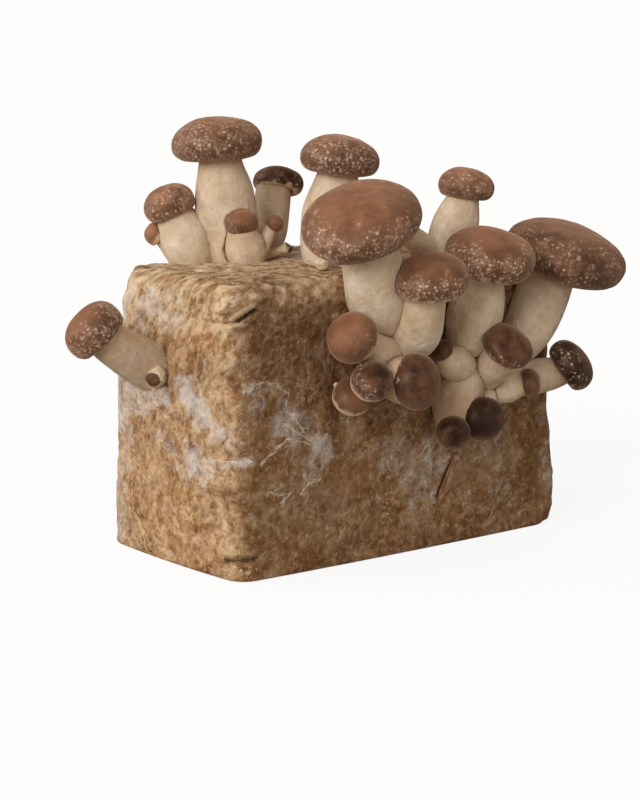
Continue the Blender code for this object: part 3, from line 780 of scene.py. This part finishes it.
def stem_form(shape, seed, trees):
    """A stem bent along its spine, with long shallow grooves and flattened contacts."""
    length = (shape["neck"] - shape["root"]).length
    rings = steps(length * 1.1, STEM_GRAIN)
    columns = steps(math.pi * max(shape["stem"]), STEM_GRAIN)
    start = -ROOT_DEPTH / length
    shares = np.linspace(start, 1, rings + 1)
    shares = np.concatenate(([start], shares, [1]))
    angles = np.linspace(0, 2 * math.pi, columns + 1)
    points = np.zeros((len(shares), columns + 1, 3))
    for row, share in enumerate(shares):
        radius = stem_radius(shape, share) if 0 < row < len(shares) - 1 else 0
        points[row, :, 0] = radius * np.cos(angles)
        points[row, :, 1] = radius * np.sin(angles)
        points[row, :, 2] = share * length
    bm = rolled(points, {}, points)
    face_outwards(bm)
    layer = bm.verts.layers.float_vector["straight"]

    spots = {}
    turn = Quaternion()
    heading = Vector((0, 0, 1))
    for share in shares:
        point, direction = spine(shape, share)
        turn = heading.rotation_difference(direction) @ turn
        heading = direction
        spots[round(share * length, 3)] = (point, turn)
    heights = np.array(sorted(spots))
    shift = Vector((seed * 2.3, seed * 0.7, 0))
    places = []
    origins = []
    ways = []
    for vertex in bm.verts:
        straight = vertex[layer]
        point, turn = spots[heights[np.abs(heights - straight.z).argmin()]]
        side = Vector((straight.x, straight.y, 0))
        around = side.normalized() * 3 if side.length > 0 else side
        groove = noise.noise(Vector((around.x, around.y, straight.z / 24)) + shift)
        fine = noise.noise(Vector((straight.x / 1.6, straight.y / 1.6, straight.z / 14)) + shift)
        lump = noise.noise(Vector((straight.x / 14, straight.y / 14, straight.z / 16)) + shift)
        scale = 1 + 0.015 * groove + 0.07 * lump
        side = side * scale
        if side.length > 0:
            side += side.normalized() * 0.1 * fine
        places.append(point + turn @ side)
        origins.append(point)
        ways.append(straight.z / length)
    places, drawn = give_way(places, origins, trees)
    for vertex, place in zip(bm.verts, places):
        vertex.co = place
    relax(bm, drawn)
    carry(bm, {
        "way": ways,
        "pressed": smooth(drawn),
        "tan": np.full(len(places), shape["tan"]),
    })
    return bm


def bud_form(root, tip, stalk, head, skin_start, seed):
    """A young bud: a short stalk with a round head that it has not yet parted from."""
    root, tip = Vector(root), Vector(tip)
    length = (tip - root).length
    stalk_radius, head_radius = stalk / 2, head / 2
    profile = [(0, -ROOT_DEPTH)]
    neck = length - head_radius * 0.9
    for step in range(9):
        share = step / 8
        swell = 1 + 0.12 * math.sin(math.radians(180) * share)
        profile.append((stalk_radius * swell, -ROOT_DEPTH + (neck + ROOT_DEPTH) * share))
    for degrees in range(-25, 91, 10):
        angle = math.radians(degrees)
        profile.append((head_radius * math.cos(angle), length + head_radius * math.sin(angle)))
    profile.append((0, length + head_radius))
    profile = np.array(profile)
    angles = np.linspace(0, 2 * math.pi, BUD_SIDES + 1)
    points = np.zeros((len(profile), len(angles), 3))
    points[:, :, 0] = profile[:, :1] * np.cos(angles)
    points[:, :, 1] = profile[:, :1] * np.sin(angles)
    points[:, :, 2] = profile[:, 1:]
    bm = rolled(points, {}, points)
    face_outwards(bm)
    turn = Vector((0, 0, 1)).rotation_difference((tip - root).normalized())
    layer = bm.verts.layers.float.new("skin")
    for vertex in bm.verts:
        vertex[layer] = vertex.co.z / length - skin_start
        lump = 1 + 0.1 * noise.noise(vertex.co / 3 + Vector((seed, 0, 0)))
        vertex.co = turn @ (vertex.co * lump) + root
    return bm


class Value:
    """A number that flows between shader nodes; arithmetic on it adds Math nodes."""

    def __init__(self, surface, socket):
        self.surface = surface
        self.socket = socket

    def math(self, operation, first, second=0.0):
        return self.surface.add("ShaderNodeMath", {"operation": operation}, {0: first, 1: second})

    def __add__(self, other):
        return self.math("ADD", self, other)

    def __sub__(self, other):
        return self.math("SUBTRACT", self, other)

    def __rsub__(self, other):
        return self.math("SUBTRACT", other, self)

    def __mul__(self, other):
        return self.math("MULTIPLY", self, other)

    __radd__ = __add__
    __rmul__ = __mul__

    def lines(self, width):
        """Thin lines where a soft noise passes its middle: 1 on the line."""
        return 1 - self.math("ABSOLUTE", self - 0.5).eased(0.0, width)

    def eased(self, low, high):
        """0 below low and 1 above high, smooth between them."""
        settings = {"interpolation_type": "SMOOTHSTEP"}
        values = {"Value": self, "From Min": low, "From Max": high}
        return self.surface.add("ShaderNodeMapRange", settings, values)


class Surface:
    """A material that is built node by node around one Principled shader."""

    def __init__(self, name, roughness, specular=0.3):
        self.material = bpy.data.materials.new(name)
        self.material.use_nodes = True
        self.tree = self.material.node_tree
        self.shader = self.tree.nodes["Principled BSDF"]
        self.shader.inputs["Roughness"].default_value = roughness
        self.shader.inputs["Specular IOR Level"].default_value = specular

    def add(self, kind, settings=None, values=None, output=0):
        """Add a node: its settings first, then the values or links of its sockets."""
        node = self.tree.nodes.new(kind)
        for name, setting in (settings or {}).items():
            if name == "stops":
                self.set_stops(node.color_ramp, setting)
            else:
                setattr(node, name, setting)
        for name, value in (values or {}).items():
            self.feed(node.inputs[name], value)
        return Value(self, node.outputs[output])

    def feed(self, socket, value):
        if isinstance(value, Value):
            self.tree.links.new(value.socket, socket)
        else:
            socket.default_value = value

    def set_stops(self, ramp, stops):
        while len(ramp.elements) < len(stops):
            ramp.elements.new(0.5)
        for element, (position, colour) in zip(ramp.elements, stops):
            element.position = position
            element.color = colour

    def set(self, name, value):
        self.feed(self.shader.inputs[name], value)

    def mix(self, share, first, second, blend="MIX"):
        """Mix two colours."""
        settings = {"data_type": "RGBA", "blend_type": blend}
        return self.add("ShaderNodeMix", settings, {0: share, 6: first, 7: second}, output=2)

    def ramp(self, share, *stops):
        return self.add("ShaderNodeValToRGB", {"stops": stops}, {0: share})

    def read(self, name, output=2):
        """A number that the mesh carries."""
        return self.add("ShaderNodeAttribute", {"attribute_name": name}, output=output)

    def place(self):
        return self.add("ShaderNodeTexCoord", output=3)

    def stretched(self, place, scale, turn=(0, 0, 0)):
        angles = tuple(math.radians(degrees) for degrees in turn)
        values = {"Vector": place, "Scale": scale, "Rotation": angles}
        return self.add("ShaderNodeMapping", None, values)

    def warped(self, place, wavelength, amount):
        """Push a place about by soft noise, by up to half the amount."""
        values = {"Vector": place, "Scale": 1 / wavelength, "Detail": 2.0}
        push = self.add("ShaderNodeTexNoise", None, values, output=1)
        halves = {0: push, 1: (0.5, 0.5, 0.5)}
        centred = self.add("ShaderNodeVectorMath", {"operation": "SUBTRACT"}, halves)
        values = {0: centred, 1: (amount, amount, amount), 2: place}
        return self.add("ShaderNodeVectorMath", {"operation": "MULTIPLY_ADD"}, values)

    def drawn_out(self, place, times):
        """Stretch what follows along the slant of the block's grain."""
        x, y, z = GRAIN_WAY
        turn = (0, -math.atan2(z, math.hypot(x, y)), math.atan2(y, x))
        values = {"Vector": place, "Rotation": turn, "Scale": (times, 1, 1)}
        return self.add("ShaderNodeMapping", {"vector_type": "TEXTURE"}, values)

    def noise(self, place, wavelength, detail=3.0, roughness=0.55, warp=0.0):
        """Soft noise from 0 to 1 with a wavelength in metres."""
        values = {
            "Vector": place,
            "Scale": 1 / wavelength,
            "Detail": detail,
            "Roughness": roughness,
            "Distortion": warp,
        }
        return self.add("ShaderNodeTexNoise", None, values)

    def cells(self, place, width, output=0):
        """Distance to the middle of the nearest cell, or as output 1 a chance for each cell."""
        values = {"Vector": place, "Scale": 1 / width, "Randomness": 0.8}
        return self.add("ShaderNodeTexVoronoi", None, values, output)

    def bump(self, height, strength, distance):
        values = {"Height": height, "Strength": strength, "Distance": distance}
        self.set("Normal", self.add("ShaderNodeBump", None, values))


def tint(red, green, blue):
    """A colour read from 0 to 255 as a linear one."""
    shades = []
    for shade in (red, green, blue):
        share = shade / 255
        shades.append(share / 12.92 if share <= 0.04045 else ((share + 0.055) / 1.055) ** 2.4)
    return (*shades, 1.0)


def block_surface():
    """Pressed sawdust: softly mottled ochre and brown under a thin film of white mycelium, with painted
    shade on its long front, in its hollows and troughs, and painted highlight on its crests.
    """
    s = Surface("pressed_sawdust", roughness=0.8, specular=0.2)
    place = s.place()
    upper = s.read("upper")
    pushed = s.warped(place, 0.022, 0.016)
    broad = s.noise(place, 0.036, 2, 0.5, 0.3)
    hue = s.noise(place, 0.016, 3, 0.55, 0.4)
    mottle = s.noise(pushed, 0.0095, 4, 0.62, 0.5)
    film = s.noise(s.warped(place, 0.030, 0.024), 0.012, 6, 0.64, 0.8)
    fibre = s.noise(s.drawn_out(s.warped(place, 0.014, 0.010), 3.0), 0.0030, 2, 0.5, 0.3)
    patch = s.noise(pushed, 0.0046, 2, 0.5, 0.5)
    speck = s.noise(place, 0.0014, 2, 0.55)
    grains = s.noise(place, 0.0024, 3, 0.6, 0.4)
    thread = s.noise(pushed, 0.012, 2, 0.5, 0.8).lines(0.009) * film.eased(0.46, 0.56)
    light = mottle * 0.45 + patch * 0.40 + broad * 0.08 + fibre * 0.12 + speck * 0.05 - 0.05

    colour = s.ramp(
        light,
        (0.40, tint(104, 70, 40)),
        (0.46, tint(140, 102, 64)),
        (0.53, tint(168, 131, 93)),
        (0.61, tint(200, 170, 136)),
    )
    colour = s.mix((0.5 - hue).eased(0.0, 0.12) * 0.22, colour, tint(166, 112, 58))
    colour = s.mix((hue - 0.5).eased(0.0, 0.12) * 0.22, colour, tint(194, 162, 136))
    gold = s.read("gold") * (mottle * 1.4)
    colour = s.mix(gold.eased(0.1, 0.9) * 0.6, colour, tint(172, 116, 60))
    pale = s.read("pale") * (0.2 + film * 1.6)
    colour = s.mix(pale.eased(0.1, 1.1) * 0.7, colour, tint(206, 176, 138))
    # The long front is darkened by its facing: partly its own darker brown, partly painted shade
    front = s.read("front")
    colour = s.mix(front * 0.62, colour, tint(96, 62, 32))
    # Dark marks: stains, with painted shade under the front cluster and in a crevice
    stain = s.read("stain") * (2.0 - mottle * 2.0)
    colour = s.mix(stain.eased(0.05, 1.1) * 0.75, colour, tint(98, 60, 30))

    colour = s.mix((0.46 - grains).eased(0.0, 0.09) * 0.42, colour, tint(84, 52, 26))
    colour = s.mix((grains - 0.56).eased(0.0, 0.09) * (0.26 - front * 0.1), colour, tint(224, 198, 160))

    streak = s.read("streak")
    # Painted shade darkens the streaks' troughs; their crests and the backs of the folds are lightened,
    # partly as paler fibre and partly as painted highlight
    colour = s.mix((0 - streak).eased(0.0, 0.5) * (0.06 + upper * 0.5), colour, tint(104, 66, 34))
    colour = s.mix(streak.eased(0.05, 0.5) * (0.04 + upper * 0.45), colour, tint(226, 202, 170))
    colour = s.mix(s.read("fold") * (0.4 - front * 0.25), colour, tint(218, 190, 154))
    colour = s.mix(thread * 0.35, colour, tint(224, 202, 172))

    cloud = (film - 0.5) * 2.2 + (speck - 0.5) * 0.8 + (fibre - 0.5) * 0.6
    colour = s.mix((cloud - 0.1).eased(0.0, 0.5) * 0.25, colour, tint(206, 190, 172))
    haze = s.read("bloom") * 1.1 + cloud * 0.7 + thread * 0.15 - 0.35
    colour = s.mix(haze.eased(-0.2, 1.4) * 1.1, colour, tint(210, 206, 202))
    # Painted shade: the hollows are darkened almost to black
    colour = s.mix(s.read("tear").eased(0.3, 0.9) * 0.85, colour, tint(56, 33, 17))
    s.set("Base Color", colour)
    s.bump(mottle * 1.5 + patch * 0.7 + fibre * 0.5 + grains * 0.7 + thread * 0.2, 0.5, 0.0012)
    return s.material


def cap_surface():
    """Cap skin: a smooth reddish crown, and a darker margin strewn with pale scales."""
    s = Surface("cap_skin", roughness=0.45, specular=0.5)
    s.shader.inputs["Specular Tint"].default_value = tint(255, 220, 196)
    s.shader.inputs["Sheen Weight"].default_value = 0.45
    s.shader.inputs["Sheen Roughness"].default_value = 0.5
    s.shader.inputs["Sheen Tint"].default_value = tint(255, 210, 178)
    place = s.place()
    margin = s.read("margin")
    tone = s.read("tone")
    flecks = s.read("flecks")
    net = s.read("net")
    cloud = s.noise(place, 0.014, 3, 0.5, 0.4)
    mottle = s.noise(place, 0.0046, 4, 0.62, 0.5)
    grain = s.noise(place, 0.0014, 2, 0.5)
    colour = s.ramp(
        margin + (cloud - 0.5) * 0.9,
        (0.05, tint(156, 100, 66)),
        (0.35, tint(150, 100, 70)),
        (0.70, tint(132, 90, 65)),
        (1.00, tint(108, 73, 52)),
    )
    light = tone + (mottle - 0.5) * 0.8 + (cloud - 0.5) * 1.4 + (grain - 0.5) * 0.2
    shade = s.ramp(light, (0.0, tint(62, 34, 12)), (1.0, (1, 1, 1, 1)))
    colour = s.mix(1.0, colour, shade, "MULTIPLY")

    zone = (margin + (cloud - 0.5) * 1.0 + (mottle - 0.5) * 0.5 + net * 0.35).eased(0.32, 0.64)
    zone = zone * (1 - margin.eased(1.0, 1.08))
    pale = 0
    fine = (flecks * 0.6 + 0.2) * zone * mottle.eased(0.36, 0.6) * 1.3 + net * 0.3
    layers = (
        (0.0027, 0.38, 0.90, flecks * (0.10 + zone * 0.7)),
        (0.0021, 0.42, 0.60, flecks * zone * 0.7),
        (0.0015, 0.75, 0.30, fine),
    )
    for width, reach, strength, amount in layers:
        distance = s.cells(place, width)
        chance = s.cells(place, width, output=1)
        kept = (amount - chance * 0.9).eased(-0.05, 0.25)
        spot = (1 - distance.eased(reach * 0.15, reach)) * kept * strength
        pale = spot + pale * (1 - spot)
    dim = zone * (1 - pale) * (0.08 + (0.5 - cloud).eased(0.0, 0.12) * 0.3)
    colour = s.mix(dim, colour, tint(62, 38, 28))
    colour = s.mix(pale * 0.85, colour, tint(216, 186, 164))
    veil = s.read("veil")
    colour = s.mix(veil * 0.85, colour, tint(214, 188, 154))
    s.set("Base Color", colour)
    s.set("Roughness", 0.42 + mottle * 0.16 + veil * 0.2)
    s.bump(pale * 0.8 + mottle * 1.0 + grain * 0.4, 0.4, 0.0006)
    return s.material


def gill_surface():
    """Gills and the inside of the cap: pale cream."""
    s = Surface("gills", roughness=0.7)
    mottle = s.noise(s.place(), 0.003, 3)
    s.set("Base Color", s.ramp(mottle, (0.3, tint(206, 184, 148)), (0.7, tint(232, 216, 188))))
    return s.material


def stem_surface():
    """Stem flesh: cream, with faint long fibres and ochre stains, and painted shade where it presses on
    its neighbours and, in part, towards the cap.
    """
    s = Surface("stem_flesh", roughness=0.55, specular=0.3)
    s.shader.inputs["Subsurface Weight"].default_value = 0.15
    s.shader.inputs["Subsurface Radius"].default_value = (1.0, 0.55, 0.3)
    s.shader.inputs["Subsurface Scale"].default_value = 0.003
    place = s.place()
    straight = s.read("straight", output=1)
    fibre = s.noise(s.stretched(straight, (1, 1, 0.10)), 0.9, 3, 0.6, 0.2)
    hatch = s.noise(s.stretched(straight, (1, 1, 0.25), (0, 25, 0)), 1.4, 3, 0.6, 0.3)
    broad = s.noise(place, 0.016, 3, 0.5)
    stain = s.noise(s.stretched(place, (1, 1, 0.5)), 0.011, 3, 0.55, 0.6)
    small = s.noise(place, 0.0042, 4, 0.6, 0.4)
    colour = s.ramp(
        broad * 0.40 + small * 0.35 + fibre * 0.13 + hatch * 0.12,
        (0.37, tint(200, 174, 140)),
        (0.47, tint(216, 195, 168)),
        (0.55, tint(227, 210, 186)),
        (0.64, tint(238, 226, 206)),
    )
    way = s.read("way")
    tan = s.read("tan")
    # Browner towards the cap: partly the stem's own tan, partly painted shade under the cap and on
    # stems in the shade of others
    colour = s.mix(tan * (0.3 + way * 0.8), colour, tint(150, 104, 66))
    colour = s.mix((stain - 0.53).eased(0.0, 0.14) * 0.10, colour, tint(196, 156, 108))
    colour = s.mix(way.eased(0.45, 0.95) * 0.45, colour, tint(176, 134, 90))
    colour = s.mix(hatch.eased(0.54, 0.70) * 0.2, colour, tint(160, 124, 92))
    # Painted shade where the stem presses on its neighbours
    colour = s.mix(s.read("pressed") * 0.35, colour, tint(132, 88, 54))
    foot = 1 - way.eased(0.0, 0.2)
    colour = s.mix(foot * 0.4 * broad.eased(0.35, 0.6), colour, tint(176, 138, 98))
    s.set("Base Color", colour)
    s.bump(hatch * 0.4 + fibre * 0.2 + small * 1.6, 0.45, 0.0014)
    return s.material


def bud_surface():
    """Buds: cream stalk under a brown head."""
    s = Surface("young_bud", roughness=0.6)
    skin = s.read("skin")
    mottle = s.noise(s.place(), 0.002, 3)
    flesh = s.ramp(mottle, (0.35, tint(196, 168, 132)), (0.65, tint(222, 202, 172)))
    colour = s.mix((skin + (mottle - 0.5) * 0.2).eased(0.0, 0.1), flesh, tint(104, 68, 44))
    s.set("Base Color", colour)
    return s.material


def pale_surface(name, low, high):
    """A plain fine substance between two colours."""
    s = Surface(name, roughness=0.8)
    s.set("Base Color", s.ramp(s.noise(s.place(), 0.012, 3), (0.35, low), (0.65, high)))
    return s.material


def gill_blades(bm, shape):
    """Hang thin gills under the roof of an open cap, long and short by turns."""
    rim = shape["width"] / 2 * RIM_WIDTH
    lip = shape["thickness"] * (1 - DOME_SHARE)
    roof = -lip * (1 - GILL_RISE)
    neck = shape["stem"][2] / 2
    outer = rim * GILL_WIDTH + lip * 0.1
    depth = lip * GILL_RISE * 0.75
    count = steps(2 * math.pi * rim, 1.7)
    blades = bmesh.new()
    for number, inner in enumerate((neck * 0.9, neck + (outer - neck) * 0.45)):
        outline = [(inner, roof + 0.4), (outer, roof + 0.4)]
        for share in (1, 0.75, 0.5, 0.25, 0):
            fall = depth * math.sin(math.radians(20 + 140 * share)) ** 0.7
            outline.append((inner + (outer - inner) * share, roof - fall))
        turn = Matrix.Rotation(math.pi * number / count, 3, "Z")
        face = blades.faces.new([blades.verts.new(turn @ Vector((x, -0.15, z))) for x, z in outline])
        thick = bmesh.ops.extrude_face_region(blades, geom=[face])
        fresh = [item for item in thick["geom"] if isinstance(item, bmesh.types.BMVert)]
        bmesh.ops.translate(blades, verts=fresh, vec=turn @ Vector((0, 0.3, 0)))
    whole = blades.verts[:] + blades.edges[:] + blades.faces[:]
    bmesh.ops.spin(
        blades, geom=whole, cent=(0, 0, 0), axis=(0, 0, 1), angle=2 * math.pi * (count - 1) / count,
        steps=count - 1, use_duplicate=True,
    )
    bmesh.ops.recalc_face_normals(blades, faces=blades.faces)
    turn = Vector((0, 0, 1)).rotation_difference(shape["axis"])
    for vertex in blades.verts:
        vertex.co = turn @ vertex.co + shape["seat"]
    for face in blades.faces:
        face.material_index = 1
    mesh = bpy.data.meshes.new("blades")
    blades.to_mesh(mesh)
    blades.free()
    bm.from_mesh(mesh)
    bpy.data.meshes.remove(mesh)


def strand_piece(name, paths, surface):
    """Many thin strands in one mesh; a path is a list of points with their radius."""
    curve = bpy.data.curves.new(name, "CURVE")
    curve.dimensions = "3D"
    curve.bevel_depth = MM
    curve.bevel_resolution = 0
    curve.use_fill_caps = True
    for path in paths:
        spline = curve.splines.new("POLY")
        spline.points.add(len(path) - 1)
        for point, (place, radius) in zip(spline.points, path):
            point.co = (*(place * MM), 1)
            point.radius = radius
    source = bpy.data.objects.new(name + "_line", curve)
    bpy.context.scene.collection.objects.link(source)
    graph = bpy.context.evaluated_depsgraph_get()
    mesh = bpy.data.meshes.new_from_object(source.evaluated_get(graph))
    bpy.data.objects.remove(source, do_unlink=True)
    bm = bmesh.new()
    bm.from_mesh(mesh)
    bmesh.ops.scale(bm, vec=(1 / MM, 1 / MM, 1 / MM), verts=bm.verts)
    return new_piece(name, bm, [surface])


def on_block(tree, place, sink):
    """The place on the block's surface nearest to a point, sunk a little, and its normal."""
    hit, normal, _, _ = tree.find_nearest(Vector(place))
    spot = hit - normal * sink
    spot.y = min(spot.y, solid_box[1][1] / MM - EDGE_CLEARANCE)
    return spot, normal


def thread_paths(tree):
    """The threads, each a loose bundle of strands that thin outwards."""
    paths = []
    for line in THREADS:
        for copy in range(THREAD_STRANDS):
            path = []
            for start, end in zip(line, line[1:]):
                start, end = Vector(start), Vector(end)
                count = steps((end - start).length, 1.2)
                for step in range(count):
                    place = start.lerp(end, step / count)
                    wander = noise.noise_vector(place / 4 + Vector((copy * 4.0, 0, 0)))
                    spot, _ = on_block(tree, place + wander * (1.2 + copy), 0.05)
                    share = len(path) % 5 / 5
                    path.append((spot, 0.17 - 0.03 * copy + 0.05 * math.sin(share * 6)))
            paths.append(tapered(path))
    return paths


def tapered(path):
    """Thin a strand to nothing at its ends."""
    last = len(path) - 1
    return [
        (place, radius * min(1, 0.25 + 0.5 * min(index, last - index)))
        for index, (place, radius) in enumerate(path)
    ]


def fibre_paths(tree, draws, count):
    """Short sawdust fibres that lie on the block, mostly aslant."""
    paths = []
    while len(paths) < count:
        side = draws.choice(("front", "front", "back", "back", "left", "right", "top"))
        x = draws.uniform(*STREWN_X)
        y = draws.uniform(*STREWN_Y)
        z = draws.uniform(*FIBRE_Z)
        place = {
            "front": (x, FRONT, z),
            "back": (x, -FRONT, z),
            "left": (LEFT, y, z),
            "right": (-LEFT, y, z),
            "top": (x, y, BLOCK_HEIGHT),
        }[side]
        spot, normal = on_block(tree, place, 0.05)
        slant = draws.gauss(50, 35)
        level = normal.cross(Vector((0, 0, 1)))
        if level.length < 0.3:
            level = Vector((1, 0, 0))
        heading = Quaternion(normal, math.radians(slant)) @ level.normalized()
        radius = draws.uniform(0.08, 0.15)
        bend = draws.uniform(-14, 14)
        path = []
        for _ in range(draws.randint(3, 7)):
            path.append((spot, radius))
            heading = Quaternion(normal, math.radians(bend)) @ heading
            spot, normal = on_block(tree, spot + heading * 1.2, 0.04)
            heading = (heading - normal * heading.dot(normal)).normalized()
        paths.append(tapered(path))
    return paths


def crumb_form(tree, draws, count):
    """Sawdust crumbs, thickest about the torn foot corner, and the larger chips there."""
    bm = bmesh.new()
    for number in range(count):
        if number % CRUMBS_AT_FOOT == 0:
            place = (draws.gauss(-98, 5), draws.gauss(-47, 5), abs(draws.gauss(0, 4)) + 2)
        else:
            place = draws.choice((
                (LEFT, draws.uniform(*STREWN_Y), draws.uniform(*CRUMB_Z)),
                (draws.uniform(*STREWN_X), FRONT, draws.uniform(*CRUMB_Z)),
                (draws.uniform(*STREWN_X), draws.uniform(*STREWN_Y), BLOCK_HEIGHT),
                (draws.uniform(*STREWN_X), -FRONT, draws.uniform(*CRUMB_Z)),
                (-LEFT, draws.uniform(*STREWN_Y), draws.uniform(*CRUMB_Z)),
            ))
        spot, _ = on_block(tree, place, 0.1)
        size = draws.uniform(0.25, 0.7)
        spot.z = max(spot.z, size)
        spot.y = min(spot.y, solid_box[1][1] / MM - size)
        turn = Quaternion([draws.gauss(0, 1) for _ in range(4)]).normalized()
        middle, least = size * draws.uniform(0.5, 1), size * draws.uniform(0.35, 0.8)
        squash = Matrix.Diagonal((size, middle, least, 1))
        matrix = Matrix.Translation(spot) @ turn.to_matrix().to_4x4() @ squash
        bmesh.ops.create_icosphere(bm, subdivisions=1, radius=1, matrix=matrix)
    for place, width in CHIPS:
        spot, normal = on_block(tree, place, width * 0.1)
        turn = Vector((0, 0, 1)).rotation_difference(normal).to_matrix().to_4x4()
        squash = Matrix.Diagonal((width * 0.6, width * 0.45, width * 0.3, 1))
        matrix = Matrix.Translation(spot) @ turn @ squash
        made = bmesh.ops.create_icosphere(bm, subdivisions=3, radius=1, matrix=matrix)
        for vertex in made["verts"]:
            vertex.co += noise.noise_vector(vertex.co) * width * 0.25
    return bm


def splinter_form(tree):
    """The wood splinter that stands off the long face."""
    bm = bmesh.new()
    bmesh.ops.create_cone(
        bm, cap_ends=True, segments=6, radius1=1.5, radius2=0.7, depth=SPLINTER_LENGTH
    )
    long_edges = [edge for edge in bm.edges if edge.calc_length() > SPLINTER_LENGTH / 2]
    bmesh.ops.subdivide_edges(bm, edges=long_edges, cuts=8)
    (upper_x, upper_z), (lower_x, lower_z) = SPLINTER_ENDS
    upper, _ = on_block(tree, (upper_x, FRONT, upper_z), -0.3)
    lower, _ = on_block(tree, (lower_x, FRONT, lower_z), -0.2)
    turn = Vector((0, 0, 1)).rotation_difference((upper - lower).normalized())
    for vertex in bm.verts:
        wander = noise.noise_vector(vertex.co / 2) * 0.25
        flat = Vector((vertex.co.x, vertex.co.y * 0.6, vertex.co.z))
        vertex.co = turn @ (flat + wander) + (upper + lower) / 2
    return bm


def pin_form(tree):
    """Tiny pins that never grew on."""
    bm = bmesh.new()
    for place, width in PINS:
        spot, normal = on_block(tree, place, width * 0.1)
        turn = Vector((0, 0, 1)).rotation_difference(normal).to_matrix().to_4x4()
        form = Matrix.Diagonal((width / 2, width / 2, width * 0.7, 1))
        matrix = Matrix.Translation(spot) @ turn @ form
        made = bmesh.ops.create_icosphere(bm, subdivisions=3, radius=1, matrix=matrix)
        for vertex in made["verts"]:
            vertex.co += noise.noise_vector(vertex.co / 1.5) * 0.25
    return bm


def build_object():
    """Make every piece of the object."""
    caps_and_gills = [cap_surface(), gill_surface()]
    stems = [stem_surface()]
    draws = random.Random(11)

    block = block_form()
    block_tree = BVHTree.FromBMesh(block)
    new_piece("block", block, [block_surface()], "substrate_block")

    trees = {}
    for number, shape in enumerate(MUSHROOMS):
        cap = cap_form(shape, number, list(trees.values()))
        trees[shape["name"]] = BVHTree.FromBMesh(cap)
        if shape["width"] >= VEILED_WIDTH:
            gill_blades(cap, shape)
        new_piece(shape["name"] + "_cap", cap, caps_and_gills, "cap_" + shape["name"])
    stem_trees = []
    for number, shape in enumerate(MUSHROOMS):
        others = [tree for name, tree in trees.items() if name != shape["name"]]
        stem = stem_form(shape, number, others + stem_trees)
        stem_trees.append(BVHTree.FromBMesh(stem))
        new_piece(shape["name"] + "_stem", stem, stems, "stem_" + shape["name"])
    bud_skin = bud_surface()
    for number, (name, *sizes) in enumerate(BUDS):
        new_piece("young_" + name, bud_form(*sizes, number), [bud_skin], name)

    pale = pale_surface("mycelium", tint(190, 174, 152), tint(222, 212, 196))
    tan = pale_surface("sawdust_fibre", tint(150, 114, 76), tint(212, 180, 138))
    strand_piece("mycelium_threads", thread_paths(block_tree), pale)
    strand_piece("sawdust_fibres", fibre_paths(block_tree, draws, FIBRE_COUNT), tan)
    crumbs = crumb_form(block_tree, draws, CRUMB_COUNT)
    new_piece("sawdust_crumbs", crumbs, [tan])
    bark = pale_surface("splinter_wood", tint(112, 76, 46), tint(150, 110, 72))
    new_piece("splinter", splinter_form(block_tree), [bark])
    new_piece("tiny_pins", pin_form(block_tree), [pale])


def build_studio():
    """A pale floor, a warm backdrop, soft light mostly from the left, and the camera."""
    bm = bmesh.new()
    bmesh.ops.create_circle(bm, cap_ends=True, segments=64, radius=FLOOR_RADIUS)
    mesh = bpy.data.meshes.new("floor")
    bm.to_mesh(mesh)
    bm.free()
    s = Surface("floor", roughness=0.9, specular=0.0)
    s.set("Base Color", (FLOOR_SHADE, FLOOR_SHADE, FLOOR_SHADE, 1))
    s.set("Emission Color", (1, 1, 1, 1))
    s.set("Emission Strength", FLOOR_GLOW)
    mesh.materials.append(s.material)
    floor = bpy.data.objects.new("floor", mesh)
    bpy.context.scene.collection.objects.link(floor)
    floor.visible_diffuse = False
    floor.visible_glossy = False

    world = bpy.data.worlds.new("studio")
    world.use_nodes = True
    backdrop = world.node_tree.nodes["Background"]
    backdrop.inputs["Color"].default_value = BACKDROP_COLOUR
    backdrop.inputs["Strength"].default_value = BACKDROP_STRENGTH
    bpy.context.scene.world = world
    world.cycles_visibility.glossy = False

    for name, energy, spread, way in LAMPS:
        lamp = bpy.data.lights.new(name, "SUN")
        lamp.energy = energy
        lamp.angle = math.radians(spread)
        holder = bpy.data.objects.new(name, lamp)
        holder.rotation_mode = "QUATERNION"
        holder.rotation_quaternion = Vector(way).to_track_quat("Z", "Y")
        bpy.context.scene.collection.objects.link(holder)

    turn, rise = math.radians(CAMERA_TURN), math.radians(CAMERA_RISE)
    level = math.cos(rise)
    back = Vector((math.sin(turn) * level, -math.cos(turn) * level, math.sin(rise)))
    right = Vector((math.cos(turn), math.sin(turn), 0))
    up = back.cross(right)
    eye = (Vector(CAMERA_AIM) + back * CAMERA_DISTANCE) * MM
    lens = bpy.data.cameras.new("camera")
    lens.lens = CAMERA_LENS
    lens.sensor_width = 36
    lens.clip_start = 0.05
    camera = bpy.data.objects.new("camera", lens)
    camera.matrix_world = Matrix((
        (right.x, up.x, back.x, eye.x),
        (right.y, up.y, back.y, eye.y),
        (right.z, up.z, back.z, eye.z),
        (0, 0, 0, 1),
    ))
    bpy.context.scene.collection.objects.link(camera)
    bpy.context.scene.camera = camera
    bpy.context.scene.view_settings.view_transform = "Standard"


noise.seed_set(WAVE_SEED)
build_object()
build_studio()
